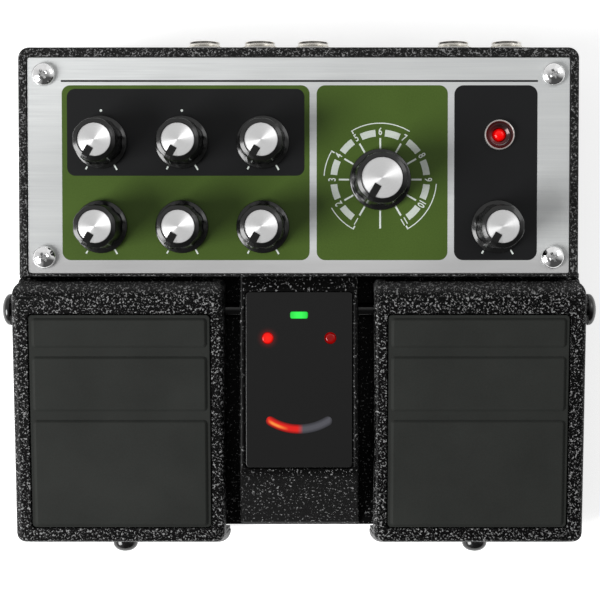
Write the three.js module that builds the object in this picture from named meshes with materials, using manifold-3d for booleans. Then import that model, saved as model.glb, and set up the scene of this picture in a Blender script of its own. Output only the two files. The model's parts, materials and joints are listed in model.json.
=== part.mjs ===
// Twin-treadle echo pedal: a cast housing with a tilted dial panel, a centre island with an indicator
// window, and two sprung foot treadles. Millimetres, +Z up, the rear towards +Y, the left towards -X,
// with the origin on the floor below the middle of the whole.

import * as THREE from "three";
import { mergeVertices } from "three/addons/utils/BufferGeometryUtils.js";
import Module from "manifold-3d";

const wasm = await Module();
wasm.setup();

const { cos, sin, tan, min, max, PI } = Math;
const degrees = THREE.MathUtils.degToRad;

// Clearances, and how far joined shapes bite into each other and cuts run past a face
const SEAT = 0.3; // face to face, between pieces that touch
const RUN = 0.6; // between pieces that pass each other
const BITE = 0.5;
const PAST = 1;

// Control panel: a flat plate that falls slightly towards the front
const PANEL = { width: 153, depth: 60.7, thick: 1.2, corner: 1.2, frontY: 7.6, frontZ: 38.98 };
const PANEL_TILT = degrees(2.2);
const RIM = { side: 2.4, rear: 2.7, front: 0.6, rise: 0.4 };
const LEDGE = { width: 3.2, thick: 2.5, cornerCut: 11 };
const PANEL_SCREW = { inset: 4.6, head: 3.25, rise: 2.0, shank: 1.5, length: 7.5, boss: 4.2, bossDrop: 5 };
const CROSS = { arm: 1.7, width: 0.8, depth: 1.1 };

// Dials: columns counted from the plate's sides, rows from its front edge
const DIAL = { leftInset: 20.7, rightInset: 20.3, pitch: 22.85, frontInset: 13.1, rowPitch: 23.8 };
const SELECTOR_BEHIND = 1.4; // behind the middle of the two rows
const SMALL_KNOB = { flange: 7.5, foot: 6.3, crown: 5.95, cap: 4.55, height: 15.4 };
const LARGE_KNOB = { flange: 8.65, foot: 7.6, crown: 7.1, cap: 5.65, height: 16.8 };
const KNOB = { lift: 0.5, flange: 1.4, lobes: 8, flute: 0.07, bevel: 1.2, lip: 0.5, recess: 1.3 };
const CAP_THICK = 0.7;
const FLANGE = { round: 0.2, cove: 0.3 };
const POINTER = { width: 1.5, start: 2.2, angle: degrees(240), proud: 0.1 };
const SHAFT = { radius: 3, depth: 8 };
const POT = { width: 9.8, depth: 11.4, height: 9, bushing: 4.5 };
const ROTARY = { radius: 9.5, height: 8.6, bushing: 4.5 };
const CONTROL_BOARD = { sideInset: 3.5, frontMargin: 8.75, rearMargin: 7.45, thick: 1.6 };
const PEAK = { besideDial: 0.5, behindDial: 2.2, lens: 1.75, mouth: 3.5, sleeve: 2.9, sleeveDrop: 4 };
const BEZEL = { radius: 4.25, rise: 1.3, edge: 0.4, cupDepth: 0.8 };

// Housing
const WALL = 2.5;
const HOUSING = { corner: 2.8, frontY: -66.6 };
const FOOT = { radius: 7, height: 2.7, stud: 2, studLength: 2.2, round: 0.8 };
const FOOT_INSET = { side: 9.2, front: 8.5, rear: 11.25 };
const COVER = { thick: 1.2, inset: 1.4 };

// Treadles: their top faces slope down to the front
const TREADLE = { thick: 3.6, drop: 4.99, rearGap: 0.5, islandGap: 3.6, skirt: 3 };
const TREADLE_CORNER = { rearOuter: 3, rearInner: 1.3, front: 2.6 };
const BARREL = 6; // radius of a treadle's rear end, which rolls down in front of the panel's box
const TREADLE_SLOPE = degrees(7.4);
const TREADLE_TRAVEL = degrees(2.5);
const SKIRT = { rearDrop: 5.8, frontLift: 3.5, draft: 0.8, apronGap: 1.3, edge: 1 };
const PIVOT = { inset: 9.5, drop: 9.69, radius: 2, head: 4.6, headRise: 2.6, lug: 4.2, bite: 2.4 };
const PAD = { frontInset: 4.1, rearInset: 10.15, innerInset: 3.5, outerInset: 4.5, corner: 1.2 };
const PAD_DEPTH = { recess: 1.8, rise: 0.2 };
const PAD_FIELDS = { lengths: [8, 15.5], band: 3, step: 0.5, edge: 1.3 };
const STOP = { lift: 6.1, radius: 2, head: 3.7, headRise: 3.4, bite: 3 };
const SPRING = { outward: 10, frontInset: 14.5, radius: 4.4, wire: 0.6, turns: 6, seat: 5, seatDrop: 1 };
const COIL = { stepsPerTurn: 8, sides: 5 };
const WELL = { radius: 5.8, wall: 1.5, lift: 1 };
const SWITCH = { inward: 10, frontInset: 14.5, width: 12, height: 5, plunger: 2.6, gap: 0.2 };
const DECK = { gap: 2, thick: 2 };

// Centre island and its window
const ISLAND = { topHalf: 16.9, footHalf: 18.2, drop: 0.5, noseLength: 17, noseRise: 1, corner: 1 };
const ISLAND_FRONT_INSET = 0.3;
const ISLAND_SLOPE = degrees(2);
const WINDOW = { sideInset: 1.6, rearInset: 4.5, frontInset: 1, thick: 2, corner: 1, ledge: 2 };
const LAMP_BOARD = { thick: 1.4, inset: 0.5, floor: 1.5 };
const WIRE_HOLE = { width: 12, depth: 4, fromRear: 8.2 };
const POWER_LAMP = { fromRear: 6.6, width: 5, depth: 1.9 };
const LAMP = { x: 9, fromRear: 13.2, radius: 1.65 };
const ARC = { fromRear: 23.6, radius: 15.8, width: 2.6, spread: degrees(36), steps: 8 };

// Rear wall: sockets counted from the housing's sides
const JACK = { lift: 17.5, bore: 3.25, bushing: 4.6, reach: 4.145, width: 14.2, height: 11, length: 23 };
const JACK_NUT = { across: 6.3, thick: 2 };
const FROM_LEFT = { inlet: 17.2, button: 34.2, expression: 51.4, output_b: 67.6, output_a: 83.2 };
const FROM_RIGHT = { input_a: 18.5, input_b: 34.1 };
const INLET = { width: 9.4, length: 13, barrel: 4.2, bore: 2.9, pin: 1, depth: 9 };
const BUTTON = { width: 6, rise: 1.4, flange: 1.1, lip: 1.2, stem: 3, travel: 1.2, inside: 4.5 };

// Inside
const BOARD = { thick: 1.6, postHeight: 5, sideGap: 2.7, rearGap: 3, post: 2.5, postSide: 14, postEnd: 8 };
const TRAY = { width: 104, depth: 44.4, wall: 1.2, roof: 1, boardGap: 2 };
const LID = { gap: 0.5, tabX: 30, tabWidth: 6, tabReach: 2.3, tabThick: 1.1, tabLift: 0.4 };
const LID_TAB = { root: 2.5, hinge: 0.6, bite: 2 };

// Faceting
const FINE = 20;
const ROUND = 16;
const COARSE = 10;
const CORNER_STEPS = 5;
const MERGE = 1e-3;

const MATERIALS = {
  cast: { color: 0x1c1d1e, roughness: 0.55, metalness: 0.4 },
  steel: { color: 0x3a3c3e, roughness: 0.5, metalness: 0.7 },
  aluminium: { color: 0xcdcfd0, roughness: 0.35, metalness: 0.9 },
  chrome: { color: 0xd8d9da, roughness: 0.12, metalness: 1 },
  nickel: { color: 0xb9b6ae, roughness: 0.25, metalness: 1 },
  blackScrew: { color: 0x151516, roughness: 0.25, metalness: 0.6 },
  knob: { color: 0x17181a, roughness: 0.45, metalness: 0 },
  rubber: { color: 0x343534, roughness: 0.85, metalness: 0 },
  foot: { color: 0x202020, roughness: 0.9, metalness: 0 },
  board: { color: 0x23502f, roughness: 0.6, metalness: 0 },
  plastic: { color: 0x1d1d1f, roughness: 0.5, metalness: 0 },
  window: { color: 0x101011, roughness: 0.2, metalness: 0 },
  greenLamp: { color: 0x39e060, roughness: 0.3, metalness: 0 },
  redLamp: { color: 0xe02a20, roughness: 0.3, metalness: 0 },
  arcLight: { color: 0xb03a34, roughness: 0.4, metalness: 0 },
};

// Derived places: the housing
const panelY = PANEL.frontY + (PANEL.depth / 2) * cos(PANEL_TILT);
const panelZ = PANEL.frontZ + (PANEL.depth / 2) * sin(PANEL_TILT);
const panelMatrix = new THREE.Matrix4()
  .makeTranslation(0, panelY, panelZ)
  .multiply(new THREE.Matrix4().makeRotationX(PANEL_TILT));
const housingHalf = PANEL.width / 2 + SEAT + RIM.side;
const housingRearY = PANEL.frontY + PANEL.depth * cos(PANEL_TILT) + SEAT + RIM.rear;
const frontWallY = PANEL.frontY - SEAT - RIM.front;
const coverZ = FOOT.height + SEAT;
const coverTopZ = coverZ + COVER.thick;
const housingZ = coverTopZ + SEAT;
const jackZ = housingZ + JACK.lift;
const inletX = FROM_LEFT.inlet - housingHalf;
const buttonX = FROM_LEFT.button - housingHalf;

// The panel's dials and boards, in the panel's own frame
const dialFirstX = DIAL.leftInset - PANEL.width / 2;
const dialThirdX = dialFirstX + 2 * DIAL.pitch;
const dialLastX = PANEL.width / 2 - DIAL.rightInset;
const dialFrontY = DIAL.frontInset - PANEL.depth / 2;
const dialRearY = dialFrontY + DIAL.rowPitch;
const selectorAt = { x: (dialThirdX + dialLastX) / 2, y: (dialFrontY + dialRearY) / 2 + SELECTOR_BEHIND };
const peakAt = { x: dialLastX + PEAK.besideDial, y: dialRearY + PEAK.behindDial };
const potTop = -PANEL.thick - SEAT;
const boardTop = potTop - POT.height;

// The treadles and what works with them
const treadleRearY = frontWallY - TREADLE.rearGap;
const treadleRearZ = PANEL.frontZ - TREADLE.drop;
const skirtInnerX = housingHalf + RUN;
const treadleOuterX = skirtInnerX + TREADLE.skirt;
const treadleInnerX = ISLAND.footHalf + TREADLE.islandGap;
const treadleMiddleX = (treadleInnerX + treadleOuterX) / 2;
const skirtFrontY = HOUSING.frontY - SKIRT.apronGap;
const treadleFrontY = skirtFrontY - TREADLE.skirt;
const pivotAt = { y: frontWallY - PIVOT.inset, z: treadleRearZ - PIVOT.drop };
const padY = [treadleFrontY + PAD.frontInset, treadleRearY - PAD.rearInset];
const springAt = { x: treadleMiddleX + SPRING.outward, y: HOUSING.frontY + SPRING.frontInset };
const switchAt = { x: treadleMiddleX - SWITCH.inward, y: HOUSING.frontY + SWITCH.frontInset };
const wellFloorZ = housingZ + WELL.lift + WELL.wall;
const stopZ = housingZ + STOP.lift;
const deckFlatZ = pivotAt.z - PIVOT.radius - SEAT;

// The island, its window and lamps
const islandRearZ = treadleRearZ - ISLAND.drop;
const islandFrontY = HOUSING.frontY + ISLAND_FRONT_INSET;
const islandBreakY = islandFrontY + ISLAND.noseLength;
const islandFloorZ = deckFlatZ + LAMP_BOARD.floor;
const windowHalf = ISLAND.topHalf - WINDOW.sideInset;
const windowRearY = frontWallY - WINDOW.rearInset;
const windowFrontY = islandBreakY + WINDOW.frontInset;
const powerLampY = windowRearY - POWER_LAMP.fromRear;
const lampY = windowRearY - LAMP.fromRear;
const arcY = windowRearY - ARC.fromRear;

// Height of the panel's upper face, raised along its normal, above a place towards the rear.
const panelHeight = (y, raise = 0) => panelZ + (y - panelY) * tan(PANEL_TILT) + raise / cos(PANEL_TILT);
const treadleTop = (y) => treadleRearZ + (y - treadleRearY) * tan(TREADLE_SLOPE);
const treadleUnder = (y) => treadleTop(y) - TREADLE.thick / cos(TREADLE_SLOPE);
const pressedUnder = (y) => {
  const pressedSlope = TREADLE_SLOPE + TREADLE_TRAVEL;
  const reach = (treadleUnder(pivotAt.y) - pivotAt.z) * cos(TREADLE_SLOPE);
  return pivotAt.z + reach / cos(pressedSlope) + (y - pivotAt.y) * tan(pressedSlope);
};
const islandTop = (y) => islandRearZ + (y - frontWallY) * tan(ISLAND_SLOPE);
const deckSlope = tan(TREADLE_SLOPE + TREADLE_TRAVEL);
const deckBendY = pivotAt.y + (deckFlatZ + DECK.gap - pressedUnder(pivotAt.y)) / deckSlope;
const deckTop = (y) => min(deckFlatZ, deckFlatZ + (y - deckBendY) * deckSlope);
const noseZ = deckTop(islandFrontY) + ISLAND.noseRise;
const trayFrontY = deckBendY + SEAT;
const trayRearY = trayFrontY + TRAY.depth + 2 * TRAY.wall;
const boardY = [trayRearY + TRAY.boardGap, housingRearY - WALL - BOARD.rearGap];
const boardHalf = housingHalf - WALL - BOARD.sideGap;
const boardZ = coverTopZ + BOARD.postHeight;
const buttonStemY = housingRearY - WALL - BUTTON.inside;

// A closed geometry as a solid that can be joined and cut.
function solidOf(geometry) {
  const loose = geometry.index ? geometry.toNonIndexed() : geometry;
  const bare = new THREE.BufferGeometry().setAttribute("position", loose.getAttribute("position"));
  const merged = mergeVertices(bare, MERGE);
  const corners = merged.index.array;
  const kept = [];
  for (let i = 0; i < corners.length; i += 3) {
    const face = [corners[i], corners[i + 1], corners[i + 2]];
    if (new Set(face).size === 3) kept.push(...face);
  }
  const vertProperties = merged.attributes.position.array;
  return new wasm.Manifold(new wasm.Mesh({ numProp: 3, vertProperties, triVerts: new Uint32Array(kept) }));
}

function geometryOf(solid) {
  const { vertProperties, triVerts } = solid.getMesh();
  return new THREE.BufferGeometry()
    .setAttribute("position", new THREE.BufferAttribute(new Float32Array(vertProperties), 3))
    .setIndex(new THREE.BufferAttribute(new Uint32Array(triVerts), 1));
}

// The pieces joined into one, less the tools.
function carve(pieces, tools = []) {
  const joined = pieces.map(solidOf).reduce((all, next) => all.add(next));
  return geometryOf(tools.map(solidOf).reduce((rest, tool) => rest.subtract(tool), joined));
}

function common(first, second) {
  return geometryOf(solidOf(first).intersect(solidOf(second)));
}

const around = (centre, width) => [centre - width / 2, centre + width / 2];
const ordered = (a, b) => [min(a, b), max(a, b)];

// A box from its low and high places along X, Y and Z.
function block(...ranges) {
  const size = ranges.map(([low, high]) => high - low);
  const centre = ranges.map(([low, high]) => (low + high) / 2);
  return new THREE.BoxGeometry(...size).translate(...centre);
}

const TURNS = {
  x: (geometry) => geometry.rotateZ(-PI / 2),
  y: (geometry) => geometry,
  z: (geometry) => geometry.rotateX(PI / 2),
};

// A round bar along an axis, through the point given by its two other coordinates.
function bar(axis, [from, to], at, radius, sides = ROUND) {
  const place = { x: 0, y: 0, z: 0, ...at, [axis]: (from + to) / 2 };
  const geometry = new THREE.CylinderGeometry(radius, radius, to - from, sides);
  return TURNS[axis](geometry).translate(place.x, place.y, place.z);
}

// A turned piece about an axis: the profile lists radius and place along the axis, from axis to axis.
function turned(axis, profile, at = {}, sides = ROUND) {
  const points = profile.map(([radius, along]) => new THREE.Vector2(radius, along));
  const place = { x: 0, y: 0, z: 0, ...at };
  return TURNS[axis](new THREE.LatheGeometry(points, sides)).translate(place.x, place.y, place.z);
}

const DOME_EDGE = 0.2; // the share of the rise that is a straight edge

// The profile of a domed head that rises from a flat seat, for a turned piece.
function domeProfile(radius, seat, rise, steps = CORNER_STEPS) {
  const profile = [[0, seat], [radius, seat]];
  for (let i = 1; i <= steps; i++) {
    const angle = (i / steps) * (PI / 2);
    const height = DOME_EDGE + (1 - DOME_EDGE) * sin(angle);
    profile.push([i === steps ? 0 : radius * cos(angle), seat + rise * height]);
  }
  return profile;
}

// Points of a rectangle with rounded corners, anticlockwise from the one at high X and Y.
// The radius is one number, or one for each corner.
function roundedRectangle([x0, x1], [y0, y1], radius, steps = CORNER_STEPS) {
  const radii = Array.isArray(radius) ? radius : Array(4).fill(radius);
  const corners = [[x1, y1, -1, -1], [x0, y1, 1, -1], [x0, y0, 1, 1], [x1, y0, -1, 1]];
  return corners.flatMap(([x, y, inX, inY], quarter) => {
    const r = radii[quarter];
    return Array.from({ length: steps + 1 }, (_, i) => {
      const angle = (quarter + i / steps) * (PI / 2);
      return [x + r * (inX + cos(angle)), y + r * (inY + sin(angle))];
    });
  });
}

function extruded(outline, depth) {
  const shape = new THREE.Shape(outline.map(([a, b]) => new THREE.Vector2(a, b)));
  return new THREE.ExtrudeGeometry(shape, { depth, bevelEnabled: false });
}

const prism = (outline, [z0, z1]) => extruded(outline, z1 - z0).translate(0, 0, z0);

// A side profile of Y and Z, drawn out along X.
const yz = new THREE.Matrix4().makeBasis(
  new THREE.Vector3(0, 1, 0),
  new THREE.Vector3(0, 0, 1),
  new THREE.Vector3(1, 0, 0),
);
const sideways = (profile, [x0, x1]) => extruded(profile, x1 - x0).applyMatrix4(yz).translate(x0, 0, 0);

// A skin over rings of equal count, each anticlockwise from above, closed at both ends.
function loft(rings) {
  const count = rings[0].length;
  const last = (rings.length - 1) * count;
  const faces = [];
  for (let ring = 0; ring < rings.length - 1; ring++) {
    for (let i = 0; i < count; i++) {
      const a = ring * count + i;
      const b = ring * count + ((i + 1) % count);
      faces.push(a, b, b + count, a, b + count, a + count);
    }
  }
  for (let i = 1; i < count - 1; i++) {
    faces.push(0, i + 1, i, last, last + i, last + i + 1);
  }
  const points = new Float32Array(rings.flat(2));
  return new THREE.BufferGeometry()
    .setAttribute("position", new THREE.BufferAttribute(points, 3))
    .setIndex(faces);
}

const onPanel = (geometry) => geometry.applyMatrix4(panelMatrix);

function piece(name, material, geometry) {
  const mesh = new THREE.Mesh(geometry, new THREE.MeshStandardMaterial(MATERIALS[material]));
  mesh.name = name;
  mesh.geometry.computeVertexNormals();
  return mesh;
}

// Places of the four panel screws, in the panel's own frame.
function panelScrewPlaces() {
  const x = PANEL.width / 2 - PANEL_SCREW.inset;
  const y = PANEL.depth / 2 - PANEL_SCREW.inset;
  return { rear_left: [-x, y], rear_right: [x, y], front_left: [-x, -y], front_right: [x, -y] };
}

// Places of the eight dials, in the panel's own frame.
function dialPlaces() {
  const secondX = dialFirstX + DIAL.pitch;
  return {
    bass: [dialFirstX, dialRearY],
    treble: [secondX, dialRearY],
    reverb_volume: [dialThirdX, dialRearY],
    repeat_rate: [dialFirstX, dialFrontY],
    intensity: [secondX, dialFrontY],
    echo_volume: [dialThirdX, dialFrontY],
    mode_selector: [selectorAt.x, selectorAt.y],
    input_volume: [dialLastX, dialFrontY],
  };
}

// Places of the five jacks along the rear wall.
function jackPlaces() {
  const left = ["expression", "output_b", "output_a"].map((name) => [name, FROM_LEFT[name] - housingHalf]);
  const right = ["input_b", "input_a"].map((name) => [name, housingHalf - FROM_RIGHT[name]]);
  return [...left, ...right];
}

// The housing's solid outline: rear box, front wall and low deck.
function housingBody() {
  const topFront = [frontWallY, panelHeight(frontWallY, RIM.rise)];
  const topRear = [housingRearY, panelHeight(housingRearY, RIM.rise)];
  const profile = [[HOUSING.frontY, housingZ], [housingRearY, housingZ], topRear, topFront];
  profile.push([frontWallY, deckFlatZ], [deckBendY, deckFlatZ], [HOUSING.frontY, deckTop(HOUSING.frontY)]);
  const x = [-housingHalf, housingHalf];
  const plan = roundedRectangle(x, [HOUSING.frontY, housingRearY], HOUSING.corner);
  return common(prism(plan, [housingZ, 2 * panelZ]), sideways(profile, x));
}

function housingHollows() {
  const inner = [-housingHalf + WALL, housingHalf - WALL];
  const rearY = housingRearY - WALL;
  const frontY = frontWallY + WALL;
  const under = -PANEL.thick - SEAT - LEDGE.thick;
  const rear = [[frontY, 0], [rearY, 0], [rearY, panelHeight(rearY, under)]];
  rear.push([frontY, panelHeight(frontY, under)]);
  const deck = [[HOUSING.frontY + WALL, 0], [frontY, 0], [frontY, deckFlatZ - DECK.thick]];
  deck.push([deckBendY, deckFlatZ - DECK.thick]);
  deck.push([HOUSING.frontY + WALL, deckTop(HOUSING.frontY + WALL) - DECK.thick]);
  return [sideways(rear, inner), sideways(deck, inner)];
}

// The recess that the control plate drops into, and the opening below it.
function panelRecess() {
  const plan = roundedRectangle(
    around(0, PANEL.width + 2 * SEAT),
    around(0, PANEL.depth + 2 * SEAT),
    PANEL.corner,
  );
  const seat = -PANEL.thick - SEAT;
  const [x, y] = [PANEL.width / 2 - LEDGE.width, PANEL.depth / 2 - LEDGE.width];
  const cut = LEDGE.cornerCut;
  const opening = [[x, y - cut], [x - cut, y], [cut - x, y], [-x, y - cut]];
  opening.push([-x, cut - y], [cut - x, -y], [x - cut, -y], [x, cut - y]);
  return [onPanel(prism(plan, [seat, panelZ])), onPanel(prism(opening, [seat - 3 * LEDGE.thick, 0]))];
}

function panelScrewBosses() {
  const top = -PANEL.thick - SEAT;
  const drop = top - LEDGE.thick - PANEL_SCREW.bossDrop;
  return Object.values(panelScrewPlaces()).map(([x, y]) =>
    onPanel(bar("z", [drop, top - LEDGE.thick / 2], { x, y }, PANEL_SCREW.boss, COARSE)),
  );
}

function panelScrewHoles() {
  const bottom = -PANEL_SCREW.length - 2 * SEAT;
  return Object.values(panelScrewPlaces()).map(([x, y]) =>
    onPanel(bar("z", [bottom, PANEL.thick], { x, y }, PANEL_SCREW.shank + SEAT, COARSE)),
  );
}

// The island between the treadles, with drafted sides and a steep nose.
function island() {
  const rearY = frontWallY + WALL / 2;
  const root = (place) => [place, deckTop(place) - DECK.thick / 2];
  const profile = [root(islandFrontY), root(deckBendY), root(rearY), [rearY, islandTop(rearY)]];
  profile.push([islandBreakY, islandTop(islandBreakY)], [islandFrontY, noseZ]);
  const y = [islandFrontY, rearY + ISLAND.corner];
  const ring = (half, z) => roundedRectangle([-half, half], y, ISLAND.corner).map((p) => [...p, z]);
  const sides = loft([ring(ISLAND.footHalf, housingZ), ring(ISLAND.topHalf, islandCrownZ)]);
  return common(sides, sideways(profile, [-ISLAND.footHalf, ISLAND.footHalf]));
}

// The room below the window, and the hollow of the nose.
function islandHollows() {
  const windowY = [windowFrontY - SEAT, windowRearY + SEAT];
  const plan = roundedRectangle([-windowHalf - SEAT, windowHalf + SEAT], windowY, WINDOW.corner);
  const seat = windowMatrix(-WINDOW.thick - SEAT);
  const roomX = [-windowHalf + WINDOW.ledge, windowHalf - WINDOW.ledge];
  const roomY = [windowFrontY + WINDOW.ledge, windowRearY - WINDOW.ledge];
  const wireY = around(windowRearY - WIRE_HOLE.fromRear, WIRE_HOLE.depth);
  const wires = block(around(0, WIRE_HOLE.width), wireY, [housingZ, islandFloorZ + PAST]);
  const floorZ = deckFlatZ - DECK.thick / 2;
  const noseX = [-ISLAND.topHalf + WALL, ISLAND.topHalf - WALL];
  const noseTop = islandTop(islandBreakY) - 2 * WALL;
  const nose = [[deckBendY, housingZ], [deckBendY, floorZ], [windowFrontY, floorZ], [windowFrontY, noseTop]];
  nose.push([islandBreakY - WALL, noseTop], [islandFrontY + WALL, noseZ - WALL]);
  nose.push([islandFrontY + WALL, housingZ]);
  return [
    prism(plan, [0, islandRearZ]).applyMatrix4(seat),
    block(roomX, roomY, [islandFloorZ, islandRearZ + WINDOW.thick]),
    wires,
    sideways(nose, noseX),
  ];
}

// The frame of the window: its upper face follows the island's top, at the given height above it.
function windowMatrix(height) {
  const lift = new THREE.Matrix4().makeTranslation(0, frontWallY, islandRearZ + height);
  const back = new THREE.Matrix4().makeTranslation(0, -frontWallY, 0);
  return lift.multiply(new THREE.Matrix4().makeRotationX(ISLAND_SLOPE)).multiply(back);
}

// The ear that stands up from the deck beside a treadle and takes its pivot bolt.
function pivotLug(side) {
  const rearY = frontWallY + WALL / 2;
  const rootZ = deckFlatZ - DECK.thick / 2;
  const profile = [[pivotAt.y - PIVOT.lug, rootZ], [rearY, rootZ], [rearY, pivotAt.z + PIVOT.lug]];
  for (let i = 0; i <= CORNER_STEPS; i++) {
    const angle = (1 + i / CORNER_STEPS) * (PI / 2);
    profile.push([pivotAt.y + PIVOT.lug * cos(angle), pivotAt.z + PIVOT.lug * sin(angle)]);
  }
  return sideways(profile, ordered(side * (housingHalf - WALL), side * housingHalf));
}

function pivotHole(side) {
  const x = ordered(side * (pivotTipX() - SEAT), side * (treadleOuterX + PIVOT.head));
  return bar("x", x, pivotAt, PIVOT.radius + SEAT);
}

// The pivot bolt ends inside the island's side.
const pivotTipX = () => islandSide(pivotAt.z) - PIVOT.bite;

// The height at which the island's drafted sides would have its top width.
const islandCrownZ = islandRearZ + PAST;

// Half the island's width at a height.
function islandSide(z) {
  const share = (z - housingZ) / (islandCrownZ - housingZ);
  return ISLAND.footHalf + (ISLAND.topHalf - ISLAND.footHalf) * share;
}

// The cup below the deck that a treadle's spring stands in.
const wellAt = (side) => ({ x: side * springAt.x, y: springAt.y });

function springWell(side) {
  const z = [wellFloorZ - WELL.wall, deckTop(springAt.y) - DECK.thick / 2];
  return bar("z", z, wellAt(side), WELL.radius + WELL.wall);
}

function deckHoles(side) {
  const stopDrop = (HOUSING.frontY - pivotAt.y) * sin(TREADLE_TRAVEL);
  const slotZ = [stopZ + stopDrop - STOP.radius - SEAT, stopZ + STOP.radius + SEAT];
  const slotY = [HOUSING.frontY - WALL, HOUSING.frontY + 2 * WALL];
  const plunger = { x: side * switchAt.x, y: switchAt.y };
  return [
    bar("z", [wellFloorZ, treadleRearZ], wellAt(side), WELL.radius),
    bar("z", [housingZ, treadleRearZ], plunger, SWITCH.plunger + SEAT, COARSE),
    block(around(side * treadleMiddleX, 2 * (STOP.radius + SEAT)), slotY, slotZ),
  ];
}

function rearWallHoles() {
  const y = [housingRearY - 2 * WALL, housingRearY + WALL];
  const holes = jackPlaces().map(([, x]) => bar("y", y, { x, z: jackZ }, JACK.bushing + SEAT));
  holes.push(bar("y", y, { x: inletX, z: jackZ }, INLET.barrel + SEAT));
  const width = BUTTON.width + 2 * SEAT;
  holes.push(block(around(buttonX, width), y, around(jackZ, width)));
  return holes;
}

function chassis() {
  const shell = carve([housingBody()], housingHollows());
  const added = [island(), ...panelScrewBosses(), pivotLug(-1), pivotLug(1), springWell(-1), springWell(1)];
  const holes = [...panelRecess(), ...panelScrewHoles(), ...islandHollows(), ...rearWallHoles()];
  for (const side of [-1, 1]) holes.push(pivotHole(side), ...deckHoles(side));
  return piece("chassis", "cast", carve([shell, ...added], holes));
}

function panelScrew(name, [x, y]) {
  const slot = (a, b) => block(around(x, a), around(y, b), [SEAT + PANEL_SCREW.rise - CROSS.depth, panelZ]);
  const head = turned("z", domeProfile(PANEL_SCREW.head, SEAT, PANEL_SCREW.rise), { x, y });
  const shank = bar("z", [-PANEL_SCREW.length, SEAT + BITE], { x, y }, PANEL_SCREW.shank, COARSE);
  const cross = [slot(2 * CROSS.arm, CROSS.width), slot(CROSS.width, 2 * CROSS.arm)];
  return piece("panel_screw_" + name, "chrome", carve([head, shank], cross));
}

function controlPlate() {
  const plan = roundedRectangle(around(0, PANEL.width), around(0, PANEL.depth), PANEL.corner);
  const through = [-2 * PANEL.thick, PANEL.thick];
  const holes = Object.values(panelScrewPlaces()).map(([x, y]) =>
    bar("z", through, { x, y }, PANEL_SCREW.shank + SEAT, COARSE),
  );
  for (const [x, y] of Object.values(dialPlaces())) {
    holes.push(bar("z", through, { x, y }, POT.bushing + SEAT, COARSE));
  }
  holes.push(bar("z", through, peakAt, PEAK.sleeve + SEAT, COARSE));
  return piece("control_plate", "aluminium", carve([prism(plan, [-PANEL.thick, 0])], holes));
}

// One ring of a knob's grip, at a radius and height, with or without its flutes.
function knobRing(radius, z, flute) {
  const perLobe = 3;
  const count = perLobe * KNOB.lobes;
  return Array.from({ length: count }, (_, i) => {
    const angle = (i / count) * 2 * PI;
    const reach = radius * (i % perLobe === 0 ? 1 - flute : 1);
    return [reach * cos(angle), reach * sin(angle), z];
  });
}

// The raised rib that starts on the cap, crosses the knob's edge and runs down to its flange.
function pointerRib(size) {
  const flangeTop = KNOB.lift + KNOB.flange;
  const rootZ = flangeTop - POINTER.proud;
  const profile = [[POINTER.start, size.height - KNOB.recess - BITE], [POINTER.start, size.height]];
  profile.push([size.crown + POINTER.proud, size.height], [size.flange - BITE, rootZ]);
  profile.push([size.foot / 2, rootZ]);
  const rib = extruded(profile, POINTER.width).translate(0, 0, -POINTER.width / 2);
  return rib.rotateX(PI / 2).rotateZ(POINTER.angle);
}

function knob(name, size) {
  const { height } = size;
  const flangeTop = KNOB.lift + KNOB.flange;
  const recess = size.cap + SEAT;
  const grip = loft([
    knobRing(size.flange, KNOB.lift, 0),
    knobRing(size.flange - FLANGE.round, flangeTop, 0),
    knobRing(size.foot, flangeTop + FLANGE.cove, KNOB.flute),
    knobRing(size.crown, height - KNOB.bevel, KNOB.flute),
    knobRing(size.cap + KNOB.lip, height, 0),
    knobRing(recess, height, 0),
    knobRing(recess, height - KNOB.recess, 0),
  ]);
  const shaft = bar("z", [-SHAFT.depth, KNOB.lift + BITE], {}, SHAFT.radius, COARSE);
  return piece("knob_" + name, "knob", carve([grip, shaft, pointerRib(size)]));
}

function knobCap(name, size) {
  const bottom = size.height - KNOB.recess + SEAT;
  const disc = bar("z", [bottom, bottom + CAP_THICK], {}, size.cap, FINE);
  const slotY = around(0, POINTER.width + 2 * SEAT);
  const slot = block([POINTER.start - SEAT, 2 * size.cap], slotY, [0, 2 * bottom]);
  return piece("cap_" + name, "aluminium", carve([disc], [slot.rotateZ(POINTER.angle)]));
}

function dial(name, [x, y]) {
  const size = name === "mode_selector" ? LARGE_KNOB : SMALL_KNOB;
  const group = new THREE.Group();
  group.add(knob(name, size), knobCap(name, size));
  group.position.set(x, y, 0);
  return group;
}

// The board behind the plate, with the bodies and threaded bushings of its seven controls.
function controlBoard() {
  const x = around(0, PANEL.width - 2 * CONTROL_BOARD.sideInset);
  const y = [dialFrontY - CONTROL_BOARD.frontMargin, dialRearY + CONTROL_BOARD.rearMargin];
  const solids = [block(x, y, [boardTop - CONTROL_BOARD.thick, boardTop])];
  const bores = [];
  for (const [name, [px, py]] of Object.entries(dialPlaces())) {
    const at = { x: px, y: py };
    if (name !== "mode_selector") {
      solids.push(block(around(px, POT.width), around(py, POT.depth), [boardTop - BITE, potTop]));
      solids.push(bar("z", [potTop - BITE, -SEAT], at, POT.bushing, COARSE));
      bores.push(bar("z", [-SHAFT.depth - SEAT, PAST], at, SHAFT.radius + SEAT, COARSE));
    }
  }
  return piece("control_board", "board", carve(solids, bores));
}

function modeSwitch() {
  const body = bar("z", [potTop - ROTARY.height, potTop], selectorAt, ROTARY.radius);
  const bushing = bar("z", [potTop - BITE, -SEAT], selectorAt, ROTARY.bushing, COARSE);
  const bore = bar("z", [-SHAFT.depth - SEAT, PAST], selectorAt, SHAFT.radius + SEAT, COARSE);
  return piece("mode_switch", "plastic", carve([body, bushing], [bore]));
}

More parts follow.
